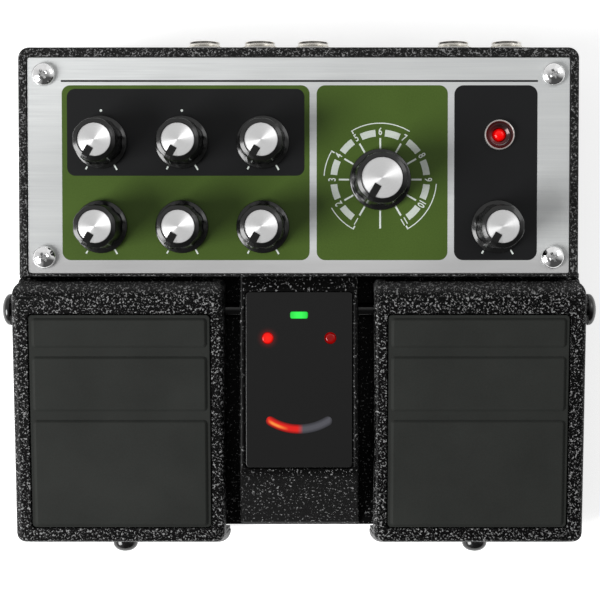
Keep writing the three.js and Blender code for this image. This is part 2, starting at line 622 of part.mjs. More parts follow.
function peakBezel() {
  const wall = PEAK.lens + SEAT;
  const { mouth, sleeve, sleeveDrop } = PEAK;
  const { radius, rise, edge, cupDepth } = BEZEL;
  const profile = [[wall, -sleeveDrop], [sleeve, -sleeveDrop], [sleeve, SEAT], [radius, SEAT]];
  profile.push([radius, SEAT + edge], [radius - edge, rise], [mouth, rise]);
  profile.push([wall, -cupDepth], [wall, -sleeveDrop]);
  return piece("peak_bezel", "chrome", carve([turned("z", profile, peakAt)]));
}

// The lamp stands on the control board and its round end rises in the bezel's cup.
function peakLamp() {
  const bottom = boardTop + SEAT;
  const profile = [[0, bottom], [PEAK.lens, bottom]];
  for (let i = 0; i <= CORNER_STEPS; i++) {
    const angle = (i / CORNER_STEPS) * (PI / 2);
    const radius = i === CORNER_STEPS ? 0 : PEAK.lens * cos(angle);
    profile.push([radius, PEAK.lens * sin(angle) - BEZEL.cupDepth]);
  }
  return piece("peak_lamp", "redLamp", carve([turned("z", profile, peakAt, COARSE)]));
}

// Everything that lies in the panel's tilted frame.
function panel() {
  const group = new THREE.Group();
  group.add(controlPlate(), controlBoard(), modeSwitch(), peakBezel(), peakLamp());
  for (const [name, place] of Object.entries(panelScrewPlaces())) group.add(panelScrew(name, place));
  for (const [name, place] of Object.entries(dialPlaces())) group.add(dial(name, place));
  group.applyMatrix4(panelMatrix);
  return group;
}

// A treadle's outline, grown or shrunk evenly except at its rear end, at heights that follow a line.
function treadleRing(side, inset, height) {
  const x = ordered(side * (treadleInnerX + inset), side * (treadleOuterX - inset));
  const { rearOuter, rearInner, front } = TREADLE_CORNER;
  const rear = side > 0 ? [rearOuter, rearInner] : [rearInner, rearOuter];
  const radii = [...rear, front, front].map((radius) => radius - inset);
  const outline = roundedRectangle(x, [treadleFrontY + inset, treadleRearY], radii);
  return outline.map(([px, py]) => [px, py, height(py)]);
}

// The side profile that rolls a treadle's rear end down: its arc touches the top face and the rear plane.
function rollProfile() {
  const centreY = treadleRearY - BARREL;
  const centreZ = treadleTop(centreY) - BARREL / cos(TREADLE_SLOPE);
  const profile = [[treadleFrontY - BARREL, 0], [treadleRearY, 0]];
  for (let i = 0; i <= 2 * CORNER_STEPS; i++) {
    const angle = (i / (2 * CORNER_STEPS)) * (PI / 2 + TREADLE_SLOPE);
    profile.push([centreY + BARREL * cos(angle), centreZ + BARREL * sin(angle)]);
  }
  profile.push([centreY - BARREL, treadleRearZ + BARREL], [treadleFrontY - BARREL, treadleRearZ]);
  return profile;
}

const SHOULDER = 0.3; // where the rounded top edge has its middle facet, as a share of its radius

function treadleBody(side) {
  const rearZ = pivotAt.z - SKIRT.rearDrop;
  const fall = (rearZ - housingZ - SKIRT.frontLift) / (treadleRearY - treadleFrontY);
  const skirtBottom = (y) => rearZ + (y - treadleRearY) * fall;
  const { edge } = SKIRT;
  const shoulder = edge * SHOULDER;
  const body = loft([
    treadleRing(side, -SKIRT.draft, skirtBottom),
    treadleRing(side, 0, (y) => treadleTop(y) - edge),
    treadleRing(side, shoulder, (y) => treadleTop(y) - shoulder),
    treadleRing(side, edge, treadleTop),
  ]);
  const x = ordered(side * (treadleInnerX - BARREL), side * (treadleOuterX + BARREL));
  return common(body, sideways(rollProfile(), x));
}

// The space inside a treadle, and the lower part of its inner skirt, which stays above the deck.
function treadleHollows(side) {
  const rearY = treadleRearY + 2 * SKIRT.edge;
  const room = [[skirtFrontY, 0], [rearY, 0], [rearY, treadleUnder(rearY)]];
  room.push([skirtFrontY, treadleUnder(skirtFrontY)]);
  const innerX = treadleInnerX + TREADLE.skirt;
  const lift = (y) => deckTop(y) + RUN + max(0, pivotAt.y - y) * tan(TREADLE_TRAVEL);
  const below = [[skirtFrontY, 0], [rearY, 0], [rearY, lift(rearY)], [pivotAt.y, lift(pivotAt.y)]];
  below.push([deckBendY, lift(deckBendY)], [skirtFrontY, lift(skirtFrontY)]);
  return [
    sideways(room, ordered(side * innerX, side * skirtInnerX)),
    sideways(below, ordered(side * (treadleInnerX - 2 * SKIRT.draft), side * skirtInnerX)),
  ];
}

const padX = (side) =>
  ordered(side * (treadleInnerX + PAD.innerInset), side * (treadleOuterX - PAD.outerInset));

// A prism that follows the treadle's slope, between two depths below its top face.
function slopedPrism([x0, x1], [y0, y1], corner, [low, high]) {
  const outline = roundedRectangle([x0, x1], [y0, y1], corner);
  const ring = (depth) => outline.map(([x, y]) => [x, y, treadleTop(y) + depth]);
  return loft([ring(low), ring(high)]);
}

function treadle(name, side) {
  const recess = slopedPrism(padX(side), padY, PAD.corner, [-PAD_DEPTH.recess, TREADLE.thick]);
  const seatZ = [springTop() + SEAT, treadleUnder(springAt.y) + PAST];
  const seat = bar("z", seatZ, wellAt(side), SPRING.seat, COARSE);
  const stop = { x: side * treadleMiddleX, z: stopZ };
  const stopHole = bar("y", [treadleFrontY - WALL, skirtFrontY + WALL], stop, STOP.radius + SEAT, COARSE);
  const shell = carve([treadleBody(side)], [...treadleHollows(side), recess, stopHole]);
  return piece("treadle_" + name, "cast", carve([shell, seat], [pivotHole(side)]));
}

const springTop = () => treadleUnder(springAt.y) - SPRING.seatDrop - SEAT;

// The rubber pad: a slab with three raised fields between transverse bands.
function treadlePad(name, side) {
  const [x0, x1] = padX(side);
  const x = [x0 + SEAT, x1 - SEAT];
  const frontY = padY[0] + SEAT;
  const rearY = padY[1] - SEAT;
  const { recess, rise } = PAD_DEPTH;
  const slab = slopedPrism(x, [frontY, rearY], PAD.corner, [SEAT - recess, rise - PAD_FIELDS.step]);
  const fieldX = [x[0] + PAD_FIELDS.edge, x[1] - PAD_FIELDS.edge];
  const fields = [];
  const lastFront = frontY + PAD_FIELDS.edge;
  let fieldRear = rearY - PAD_FIELDS.edge;
  for (const length of [...PAD_FIELDS.lengths, fieldRear - lastFront]) {
    const fieldFront = max(fieldRear - length, lastFront);
    fields.push(slopedPrism(fieldX, [fieldFront, fieldRear], PAD_FIELDS.step, [-recess / 2, rise]));
    fieldRear = fieldFront - PAD_FIELDS.band;
  }
  return piece("treadle_pad_" + name, "rubber", carve([slab, ...fields]));
}

// A domed bolt along an axis, its seat facing inwards: direction is 1 or -1 along the axis.
function domedBolt(axis, direction, seat, tip, at, size) {
  const head = turned(axis, domeProfile(size.head, 0, size.headRise));
  if (direction < 0) head.rotateY(axis === "x" ? PI : 0).rotateX(axis === "y" ? PI : 0);
  head.translate(at.x ?? seat, at.y ?? seat, at.z);
  const overlap = seat + direction * BITE;
  return [head, bar(axis, ordered(tip, overlap), at, size.radius)];
}

function pivotBolt(name, side) {
  const seat = side * (treadleOuterX + SKIRT.draft + SEAT);
  const solids = domedBolt("x", side, seat, side * pivotTipX(), pivotAt, PIVOT);
  return piece("pivot_bolt_" + name, "blackScrew", carve(solids));
}

function stopScrew(name, side) {
  const seat = treadleFrontY - SKIRT.draft - SEAT;
  const tip = HOUSING.frontY + WALL + STOP.bite;
  const solids = domedBolt("y", -1, seat, tip, { x: side * treadleMiddleX, z: stopZ }, STOP);
  return piece("stop_screw_" + name, "blackScrew", carve(solids));
}

class Helix extends THREE.Curve {
  constructor(radius, height, turns) {
    super();
    Object.assign(this, { radius, height, turns });
  }

  getPoint(t, target = new THREE.Vector3()) {
    const angle = t * this.turns * 2 * PI;
    return target.set(this.radius * cos(angle), this.radius * sin(angle), t * this.height);
  }
}

function treadleSpring(name, side) {
  const bottom = wellFloorZ + SEAT + SPRING.wire;
  const path = new Helix(SPRING.radius, springTop() - SPRING.wire - bottom, SPRING.turns);
  const corners = Array.from({ length: COIL.sides }, (_, i) => (i / COIL.sides) * 2 * PI);
  const section = new THREE.Shape(
    corners.map((angle) => new THREE.Vector2(SPRING.wire * cos(angle), SPRING.wire * sin(angle))),
  );
  const tube = { steps: COIL.stepsPerTurn * SPRING.turns, extrudePath: path, bevelEnabled: false };
  const wire = new THREE.ExtrudeGeometry(section, tube).translate(side * springAt.x, springAt.y, bottom);
  return piece("treadle_spring_" + name, "steel", carve([wire]));
}

// A foot switch hangs below the deck, and its plunger waits just under the pressed treadle.
function footSwitch(name, side) {
  const at = { x: side * switchAt.x, y: switchAt.y };
  const top = deckTop(at.y - SWITCH.width / 2) - DECK.thick - SEAT;
  const body = block(around(at.x, SWITCH.width), around(at.y, SWITCH.width), [top - SWITCH.height, top]);
  const reach = pressedUnder(at.y - SWITCH.plunger) - SWITCH.gap;
  const plunger = bar("z", [top - BITE, reach], at, SWITCH.plunger, COARSE);
  return piece("foot_switch_" + name, "plastic", carve([body, plunger]));
}

function treadles() {
  const group = new THREE.Group();
  for (const [name, side] of [["left", -1], ["right", 1]]) {
    group.add(treadle(name, side), treadlePad(name, side), pivotBolt(name, side));
    group.add(stopScrew(name, side), treadleSpring(name, side), footSwitch(name, side));
  }
  return group;
}

// A smile: a ring sector that opens to the rear, at half its width grown by a margin.
function arcOutline(margin) {
  const { steps } = ARC;
  const half = ARC.width / 2 + margin;
  const spread = ARC.spread + margin / ARC.radius;
  const edge = (radius, direction) =>
    Array.from({ length: steps + 1 }, (_, i) => {
      const angle = -PI / 2 + direction * spread * ((2 * i) / steps - 1);
      return [radius * cos(angle), arcY + radius * sin(angle)];
    });
  return [...edge(ARC.radius + half, 1), ...edge(ARC.radius - half, -1)];
}

function indicatorWindow() {
  const plan = roundedRectangle([-windowHalf, windowHalf], [windowFrontY, windowRearY], WINDOW.corner);
  const through = [-2 * WINDOW.thick, WINDOW.thick];
  const lamps = [-1, 1].map((side) =>
    bar("z", through, { x: side * LAMP.x, y: lampY }, LAMP.radius + SEAT, COARSE),
  );
  const power = [around(0, POWER_LAMP.width + 2 * SEAT), around(powerLampY, POWER_LAMP.depth + 2 * SEAT)];
  const holes = [...lamps, block(...power, through), prism(arcOutline(SEAT), through)];
  const plate = carve([prism(plan, [-WINDOW.thick, 0])], holes);
  return piece("indicator_window", "window", plate.applyMatrix4(windowMatrix(0)));
}

// The lamps stand on the board in the island and end flush with the window.
function lamps() {
  const bottom = islandFloorZ + SEAT + LAMP_BOARD.thick + SEAT;
  const stand = (name, y, material, solid) => {
    const top = islandTop(y) - SEAT;
    return piece(name, material, carve([solid([bottom, top])]));
  };
  const round = (side) => (z) => bar("z", z, { x: side * LAMP.x, y: lampY }, LAMP.radius, COARSE);
  const [px, py] = [around(0, POWER_LAMP.width), around(powerLampY, POWER_LAMP.depth)];
  return [
    stand("power_lamp", powerLampY, "greenLamp", (z) => block(px, py, z)),
    stand("effect_lamp", lampY, "redLamp", round(-1)),
    stand("tap_lamp", lampY, "redLamp", round(1)),
    stand("arc_light", arcY - ARC.radius, "arcLight", (z) => prism(arcOutline(0), z)),
  ];
}

function lampBoard() {
  const inset = WINDOW.ledge + LAMP_BOARD.inset;
  const x = [-windowHalf + inset, windowHalf - inset];
  const y = [windowFrontY + inset, windowRearY - inset];
  const z = [islandFloorZ + SEAT, islandFloorZ + SEAT + LAMP_BOARD.thick];
  return piece("lamp_board", "board", carve([block(x, y, z)]));
}

function indicators() {
  const group = new THREE.Group();
  group.add(indicatorWindow(), lampBoard(), ...lamps());
  return group;
}

// A socket: its body behind the wall, threaded bushing through it and hexagonal nut outside.
function jack(name, x) {
  const at = { x, z: jackZ };
  const wallY = housingRearY - WALL - SEAT;
  const nutY = housingRearY + SEAT;
  const tipY = housingRearY + JACK.reach;
  const sides = 6;
  const body = block(around(x, JACK.width), [wallY - JACK.length, wallY], around(jackZ, JACK.height));
  const bushing = bar("y", [wallY - BITE, tipY], at, JACK.bushing);
  const nut = bar("y", [nutY, nutY + JACK_NUT.thick], at, JACK_NUT.across / cos(PI / sides), sides);
  const bore = bar("y", [wallY - JACK.length - PAST, tipY + PAST], at, JACK.bore);
  return piece("jack_" + name, "nickel", carve([body, bushing, nut], [bore]));
}

function powerInlet() {
  const at = { x: inletX, z: jackZ };
  const wallY = housingRearY - WALL - SEAT;
  const mouthY = housingRearY - SEAT;
  const y = [wallY - INLET.length, wallY];
  const body = block(around(inletX, INLET.width), y, around(jackZ, JACK.height));
  const barrel = bar("y", [wallY - BITE, mouthY], at, INLET.barrel);
  const bore = bar("y", [mouthY - INLET.depth, mouthY + PAST], at, INLET.bore);
  const pin = bar("y", [mouthY - INLET.depth - BITE, mouthY - INLET.pin], at, INLET.pin, COARSE);
  return piece("power_inlet", "plastic", carve([carve([body, barrel], [bore]), pin]));
}

function powerButton() {
  const wallY = housingRearY - WALL;
  const y = [wallY - SEAT - BUTTON.flange, housingRearY + BUTTON.rise];
  const cap = block(around(buttonX, BUTTON.width), y, around(jackZ, BUTTON.width));
  const lip = BUTTON.width + 2 * BUTTON.lip;
  const flange = block(around(buttonX, lip), [y[0], wallY - SEAT], around(jackZ, lip));
  const stemY = [buttonStemY, y[0] + BITE];
  const stem = block(around(buttonX, BUTTON.stem), stemY, around(jackZ, BUTTON.stem));
  return piece("power_button", "plastic", carve([cap, flange, stem]));
}

// The main board on its posts, with the body of the power switch.
function mainBoard() {
  const z = [boardZ + SEAT, boardZ + SEAT + BOARD.thick];
  const switchY = buttonStemY - BUTTON.travel - SEAT;
  const body = [around(buttonX, 2 * BUTTON.width), [switchY - 2 * BUTTON.width, switchY]];
  const top = jackZ + BUTTON.width;
  const board = block([-boardHalf, boardHalf], boardY, z);
  return piece("main_board", "board", carve([board, block(...body, [z[0] + BITE, top])]));
}

// Low and high places of the hole that the battery lid closes.
function lidRange() {
  const x = TRAY.width / 2;
  return { x: [-x, x], y: [trayFrontY + TRAY.wall, trayRearY - TRAY.wall] };
}

function bottomCover() {
  const { inset } = COVER;
  const x = [-housingHalf + inset, housingHalf - inset];
  const y = [HOUSING.frontY + inset, housingRearY - inset];
  const plan = roundedRectangle(x, y, HOUSING.corner);
  const posts = [boardY[0] + BOARD.postEnd, boardY[1] - BOARD.postEnd].flatMap((py) =>
    [-1, 1].map((side) => {
      const at = { x: side * (boardHalf - BOARD.postSide), y: py };
      return bar("z", [coverZ + COVER.thick / 2, boardZ], at, BOARD.post, COARSE);
    }),
  );
  const lid = lidRange();
  const holes = [block(lid.x, lid.y, [0, 2 * coverTopZ])];
  for (const at of Object.values(footPlaces())) {
    holes.push(bar("z", [0, 2 * coverZ], at, FOOT.stud + SEAT, COARSE));
  }
  return piece("bottom_cover", "steel", carve([prism(plan, [coverZ, coverTopZ]), ...posts], holes));
}

function footPlaces() {
  const x = housingHalf - FOOT_INSET.side;
  const frontY = HOUSING.frontY + FOOT_INSET.front;
  const rearY = housingRearY - FOOT_INSET.rear;
  return {
    front_left: { x: -x, y: frontY },
    front_right: { x, y: frontY },
    rear_left: { x: -x, y: rearY },
    rear_right: { x, y: rearY },
  };
}

function rubberFoot(name, at) {
  const { radius, height, stud, studLength, round } = FOOT;
  const profile = [[0, 0], [radius - round, 0], [radius, round], [radius, height]];
  profile.push([stud, height], [stud, height + studLength], [0, height + studLength]);
  return piece("foot_" + name, "foot", carve([turned("z", profile, at)]));
}

const tabZones = (grow) =>
  [-1, 1].map((side) => around(side * LID.tabX, LID.tabWidth + 2 * grow));

// The box that holds the cells, open below; the lid's tabs pass through notches in its rear wall.
function batteryTray() {
  const half = TRAY.width / 2 + TRAY.wall;
  const z = [housingZ, deckFlatZ - DECK.thick - SEAT];
  const outer = block([-half, half], [trayFrontY, trayRearY], z);
  const inner = block(lidRange().x, lidRange().y, [0, z[1] - TRAY.roof]);
  const notchY = [trayRearY - 2 * TRAY.wall, trayRearY + TRAY.wall];
  const notchZ = [0, housingZ + 2 * LID.tabReach];
  const notches = tabZones(RUN).map((x) => block(x, notchY, notchZ));
  return piece("battery_tray", "plastic", carve([outer], [inner, ...notches]));
}

// The lid lies in the bottom cover's hole and turns about its rear edge, where two tabs hook inside.
function batteryCover() {
  const { x, y } = lidRange();
  const gap = LID.gap;
  const rearY = y[1] - gap;
  const plate = block([x[0] + gap, x[1] - gap], [y[0] + gap, rearY], [coverZ, coverTopZ]);
  const tabZ = coverTopZ + LID.tabLift;
  const tabTop = tabZ + LID.tabThick;
  const tabs = tabZones(0).flatMap((tabX) => [
    block(tabX, [rearY - LID_TAB.root, rearY - LID_TAB.hinge], [coverZ + BITE, tabTop]),
    block(tabX, [rearY - LID_TAB.bite, rearY + LID.tabReach], [tabZ, tabTop]),
  ]);
  return piece("battery_cover", "plastic", carve([plate, ...tabs]));
}

function inside() {
  const group = new THREE.Group();
  for (const [name, x] of jackPlaces()) group.add(jack(name, x));
  for (const [name, at] of Object.entries(footPlaces())) group.add(rubberFoot(name, at));
  group.add(powerInlet(), powerButton(), mainBoard(), bottomCover(), batteryTray(), batteryCover());
  return group;
}

const pedal = new THREE.Group();
pedal.add(chassis(), panel(), treadles(), indicators(), inside());

export default pedal;
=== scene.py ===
# Looks of the twin-treadle echo pedal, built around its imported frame. Shapes are in millimetres in the
# frame's axes (+X right, +Y rear, +Z up) and become metres when a mesh is made.

import json
import math

import bmesh
import bpy
from mathutils import Matrix, Vector


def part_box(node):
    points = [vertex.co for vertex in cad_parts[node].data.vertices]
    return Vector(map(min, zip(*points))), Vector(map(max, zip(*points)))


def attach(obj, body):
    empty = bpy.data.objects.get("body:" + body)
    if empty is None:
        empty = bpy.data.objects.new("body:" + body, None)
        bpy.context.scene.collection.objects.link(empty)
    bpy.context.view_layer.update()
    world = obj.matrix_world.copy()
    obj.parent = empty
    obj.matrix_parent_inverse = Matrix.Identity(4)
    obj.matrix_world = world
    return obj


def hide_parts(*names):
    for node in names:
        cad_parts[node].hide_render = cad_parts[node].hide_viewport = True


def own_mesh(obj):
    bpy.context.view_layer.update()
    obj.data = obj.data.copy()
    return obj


MM = 0.001
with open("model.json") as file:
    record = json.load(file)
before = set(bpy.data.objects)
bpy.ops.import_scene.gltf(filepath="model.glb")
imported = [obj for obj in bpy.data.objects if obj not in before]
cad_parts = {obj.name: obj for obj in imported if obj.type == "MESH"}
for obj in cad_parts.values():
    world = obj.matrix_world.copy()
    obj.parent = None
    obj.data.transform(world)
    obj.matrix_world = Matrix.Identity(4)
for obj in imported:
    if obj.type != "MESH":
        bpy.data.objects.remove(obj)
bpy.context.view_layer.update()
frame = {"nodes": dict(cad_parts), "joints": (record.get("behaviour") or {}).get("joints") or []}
PI = math.pi
sin, cos, tan = math.sin, math.cos, math.tan


def box_mm(node):
    low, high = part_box(node)
    return low / MM, high / MM


def middle_of(node):
    low, high = box_mm(node)
    return (low + high) / 2


def joint(name):
    return next(j for j in frame["joints"] if j["name"] == name)


# Driving sizes that the boxes of the frame's nodes don't give
EASE = 0.02  # how far a moulded skin lies inside the solid's faces
WELD = 1e-7  # metres within which split corners are one
CORNER_STEPS = 10
PLATE_THICK = 1.2
PLATE_GROWN, PLATE_CORNER = 0.12, 0.7
PLATE_HOLE = {"dial": 4.8, "lamp": 2.95}
RIM = {"front": 0.9, "rise": 0.4, "round": 0.9, "corner": 3.1, "frontCorner": 0.4}
WALL_RIB = {"foot": 82.3, "head": 80.1, "bottom": 20.0, "top": 33.0, "reach": 0.5}  # flares beside a treadle
WALL_OVERLAP = 1.2  # how far the blocks before the front wall run into it
DECK = {"z": 22.0, "bendY": -32.7, "slope": 9.9, "skin": 0.1}
ISLAND = {"top": 16.9, "foot": 18.2, "crownZ": 34.49, "rearZ": 33.49, "slope": 2.0, "frontInset": 0.3}
NOSE = {"breakY": -49.3, "frontZ": 17.0, "soften": 0.9, "round": 0.8}
LUG = {"inside": 3.5, "top": 30.0, "front": -8.0}
TREADLE = {"slope": 7.4, "draft": 0.8, "barrel": 6.0}
TREADLE_ROUND = {"outer": 2.0, "other": 1.2}
TREADLE_CORNER = {"rearOuter": 5.5, "rearInner": 1.5, "front": 2.8}
TREADLE_SKIRT = {"rear": 18.3, "front": 7.8, "frontDraft": 2.2, "wall": 1.9, "flare": 1.1, "below": 2}
ROLL_END = {"out": 80.9, "in": 76.0}  # the rolled end runs on inside the rounded outer corner
PAD = {"corner": 1.3, "inset": 0.05, "bottom": -1.5, "edge": -0.75, "base": -0.45, "top": 0.2}
PAD_FIELDS = {"edge": 0.9, "rearEdge": 0.95, "lengths": (8.6, 16.0), "band": 2.5}
FIELD = {"bevel": 0.95, "corner": 1.2}
SMALL_KNOB = {"flange": 7.5, "foot": 6.35, "crown": 6.05, "cap": 4.6, "height": 15.4}
LARGE_KNOB = {"flange": 8.65, "foot": 7.6, "crown": 7.1, "cap": 5.65, "height": 16.7}
KNOB = {"lift": 0.5, "flange": 1.4, "lobes": 8, "flute": 0.07, "lip": 0.14}
CAP_SEAT = {"recess": 1.3, "thick": 0.7, "gap": 0.06}
POINTER = {"width": 1.95, "start": 2.2, "angle": math.radians(240)}

dial_axis = Vector(joint("bass_turn")["axis"])
TILT = math.atan2(-dial_axis.y, dial_axis.z)
cast_low, cast_high = box_mm("chassis")
plate_low, plate_high = box_mm("control_plate")
plate_size = plate_high - plate_low
plate_depth = (plate_size.y - PLATE_THICK * sin(TILT)) / cos(TILT)
plate_across, plate_up = plate_depth / 2 * cos(TILT), plate_depth / 2 * sin(TILT)
plate_centre = Vector((0, plate_low.y + plate_across, plate_high.z - plate_up))
PLATE = Matrix.Translation(plate_centre) @ Matrix.Rotation(TILT, 4, "X")
FRONT_WALL_Y = plate_low.y - RIM["front"]
DIALS = [j["child"] for j in frame["joints"] if j["name"].endswith("_turn")]


def dial_place(name):
    """A dial's centre on the plate's upper face, in the plate's own frame."""
    return PLATE.inverted() @ (Vector(joint(name + "_turn")["pos_m"]) / MM)


def on_plate(node):
    """The middle of a node's box, in the plate's own frame."""
    return PLATE.inverted() @ middle_of(node)


def plate_height(y, raised=0.0):
    return plate_centre.z + (y - plate_centre.y) * tan(TILT) + raised / cos(TILT)


# Outlines and closed skins


def rounded_rectangle(x, y, radius, steps=CORNER_STEPS):
    """Anticlockwise outline between places along X and Y; one radius, or four from the high corner."""
    radii = radius if isinstance(radius, (list, tuple)) else [radius] * 4
    corners = [(x[1], y[1], -1, -1), (x[0], y[1], 1, -1), (x[0], y[0], 1, 1), (x[1], y[0], -1, 1)]
    outline = []
    for quarter, ((cx, cy, in_x, in_y), r) in enumerate(zip(corners, radii)):
        for i in range(steps + 1):
            angle = (quarter + i / steps) * PI / 2
            outline.append((cx + r * (in_x + cos(angle)), cy + r * (in_y + sin(angle))))
    return outline


def polar(centre, radius, angle):
    return (centre[0] + radius * cos(angle), centre[1] + radius * sin(angle))


def circle(radius, steps=64, centre=(0, 0)):
    return [polar(centre, radius, i / steps * 2 * PI) for i in range(steps)]


def edge_round(radius, steps=5):
    """Pairs of inset and drop that follow a rounded upper edge from its side to its top."""
    angles = [i / steps * PI / 2 for i in range(steps + 1)]
    return [(radius * (1 - cos(a)), radius * (1 - sin(a))) for a in angles]


def at_height(outline, z):
    """A ring: the outline's points at one height, or at what a function of Y gives."""
    return [(x, y, z(y) if callable(z) else z) for x, y in outline]


class Skin:
    """Closed skins in millimetres, gathered for one mesh."""

    def __init__(self):
        self.points = []
        self.faces = []

    def loft(self, rings, loop=False):
        """Joins rings that run anticlockwise seen from the last one's side; a ring of one point is a tip."""
        starts = []
        for ring in rings:
            starts.append(len(self.points))
            self.points.extend(Vector(p) for p in ring)
        last = len(rings) if loop else len(rings) - 1
        for k in range(last):
            a, b = starts[k], starts[(k + 1) % len(rings)]
            lower, upper = len(rings[k]), len(rings[(k + 1) % len(rings)])
            count = max(lower, upper)
            for i in range(count):
                j = (i + 1) % count
                if lower == 1:
                    self.faces.append((a, b + j, b + i))
                elif upper == 1:
                    self.faces.append((a + i, a + j, b))
                else:
                    self.faces.append((a + i, a + j, b + j, b + i))
        if not loop and len(rings[0]) > 1:
            self.faces.append(tuple(starts[0] + i for i in reversed(range(len(rings[0])))))
        if not loop and len(rings[-1]) > 1:
            self.faces.append(tuple(starts[-1] + i for i in range(len(rings[-1]))))
        return self

    def prism(self, outline, z0, z1):
        return self.loft([at_height(outline, z) for z in (z0, z1)])

    def slab(self, x, y, levels, height=lambda y: 0.0):
        """Levels of inset, height and corner radius, over a surface of the given height."""
        rings = []
        for inset, rise, corner in levels:
            outline = rounded_rectangle((x[0] + inset, x[1] - inset), (y[0] + inset, y[1] - inset), corner)
            rings.append(at_height(outline, lambda py, r=rise: height(py) + r))
        return self.loft(rings)

    def lathe(self, profile, steps=64, flute=lambda angle, radius: radius):
        """Turns pairs of radius and height, from the lower end to the upper, about Z."""
        rings = []
        for radius, z in profile:
            if radius == 0:
                rings.append([(0, 0, z)])
                continue
            angles = [i / steps * 2 * PI for i in range(steps)]
            reach = [flute(a, radius) for a in angles]
            rings.append([(r * cos(a), r * sin(a), z) for a, r in zip(angles, reach)])
        return self.loft(rings)

    def turned(self, profile, steps):
        """A lathe whose two ends are closed by flat faces."""
        return self.lathe([(0, profile[0][1]), *profile, (0, profile[-1][1])], steps)

    def sideways(self, profile, x0, x1):
        """Draws a closed anticlockwise profile of Y and Z out along X."""
        return self.loft([[(x, y, z) for y, z in profile] for x in (x0, x1)])

    def moved(self, matrix):
        self.points = [matrix @ p for p in self.points]
        return self

    def mesh(self, name):
        made = bpy.data.meshes.new(name)
        made.from_pydata([tuple(p * MM) for p in self.points], [], self.faces)
        made.validate()
        return made


def facing(axis, sign=1):
    """A turn that carries +Z to the given axis."""
    return {
        "x": Matrix.Rotation(sign * PI / 2, 4, "Y"),
        "y": Matrix.Rotation(-sign * PI / 2, 4, "X"),
        "z": Matrix.Identity(4),
    }[axis]


# Meshes joined, cut and eased


def linked(name, data):
    """A new object in the scene that holds the data."""
    made = bpy.data.objects.new(name, data)
    bpy.context.scene.collection.objects.link(made)
    return made


def evaluated(holder, *others):
    """The mesh that an object makes; it and the others are then dropped."""
    graph = bpy.context.evaluated_depsgraph_get()
    made = bpy.data.meshes.new_from_object(holder.evaluated_get(graph))
    for each in (holder, *others):
        bpy.data.objects.remove(each)
    return made


def combine(mesh, tool, operation):
    """The mesh joined with, cut by or kept only within the tool."""
    holder, cutter = linked("holder", mesh), linked("cutter", tool)
    modifier = holder.modifiers.new("cut", "BOOLEAN")
    modifier.operation = operation
    modifier.solver = "MANIFOLD"
    modifier.object = cutter
    return evaluated(holder, cutter)


def union(first, *rest):
    for each in rest:
        first = combine(first, each, "UNION")
    return first


def cut(mesh, *tools):
    for each in tools:
        mesh = combine(mesh, each, "DIFFERENCE")
    return mesh


def closed_copy(node):
    """A copy of a frame node's mesh with its split corners joined again."""
    made = frame["nodes"][node].data.copy()
    made.materials.clear()
    work = bmesh.new()
    work.from_mesh(made)
    bmesh.ops.remove_doubles(work, verts=work.verts, dist=WELD)
    work.to_mesh(made)
    work.free()
    return made


def bevelled(mesh, width, segments=3, sharper=30):
    """Rounds the edges that turn by more than the given degrees."""
    work = bmesh.new()
    work.from_mesh(mesh)
    edges = [e for e in work.edges if e.is_manifold and e.calc_face_angle(0) > math.radians(sharper)]
    settings = {"segments": segments, "profile": 0.5, "affect": "EDGES", "clamp_overlap": True}
    bmesh.ops.bevel(work, geom=edges, offset=width * MM, **settings)
    work.to_mesh(mesh)
    work.free()
    return mesh


def piece(name, mesh, finish, body, replaces=(), place=None, smooth=35):
    """Adds a mesh to the object: its look, the body that it rides on and the nodes that it stands for."""
    mesh.name = name
    mesh.materials.clear()
    mesh.materials.append(finish)
    mesh.polygons.foreach_set("use_smooth", [True] * len(mesh.polygons))
    mesh.set_sharp_from_angle(angle=math.radians(smooth))
    made = linked(name, mesh)
    if place is not None:
        metres = place.copy()
        metres.translation = place.translation * MM
        made.matrix_world = metres
    made.modifiers.new("even_shading", "WEIGHTED_NORMAL").keep_sharp = True
    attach(made, body)
    if replaces:
        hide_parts(*replaces)
    return made


# Materials


class Graph:
    """Nodes of one tree, made by short calls."""

    def __init__(self, tree):
        self.tree = tree

    def give(self, socket, value):
        if isinstance(value, bpy.types.NodeSocket):
            self.tree.links.new(value, socket)
        else:
            socket.default_value = value

    def node(self, kind, inputs=None, **settings):
        made = self.tree.nodes.new(kind)
        for key, value in settings.items():
            setattr(made, key, value)
        for key, value in (inputs or {}).items():
            self.give(made.inputs[key], value)
        return made

    def math(self, operation, a, b=0.0, clamp=False):
        return self.node("ShaderNodeMath", {0: a, 1: b}, operation=operation, use_clamp=clamp).outputs[0]

    def ramp(self, value, low, high, to_low=0.0, to_high=1.0):
        inputs = {"Value": value, "From Min": low, "From Max": high, "To Min": to_low, "To Max": to_high}
        return self.node("ShaderNodeMapRange", inputs, clamp=True).outputs[0]

    def fade(self, value, low, high, to_low=0.0, to_high=1.0):
        """A ramp between two lengths given in millimetres."""
        return self.ramp(value, low * MM, high * MM, to_low, to_high)

    def mix(self, share, a, b):
        made = self.node("ShaderNodeMix", data_type="RGBA")
        for index, value in ((0, share), (6, a), (7, b)):
            self.give(made.inputs[index], (*value, 1) if isinstance(value, tuple) else value)
        return made.outputs[2]

    def axes(self, place):
        return self.node("ShaderNodeSeparateXYZ", {0: place}).outputs

    def plus(self, a, b, clamp=False):
        return self.math("ADD", a, b, clamp)

    def times(self, a, b):
        return self.math("MULTIPLY", a, b)

    def apart(self, a, b):
        """How far two values lie apart."""
        return self.math("ABSOLUTE", self.math("SUBTRACT", a, b))

    def length(self, a, b):
        return self.math("SQRT", self.plus(self.times(a, a), self.times(b, b)))


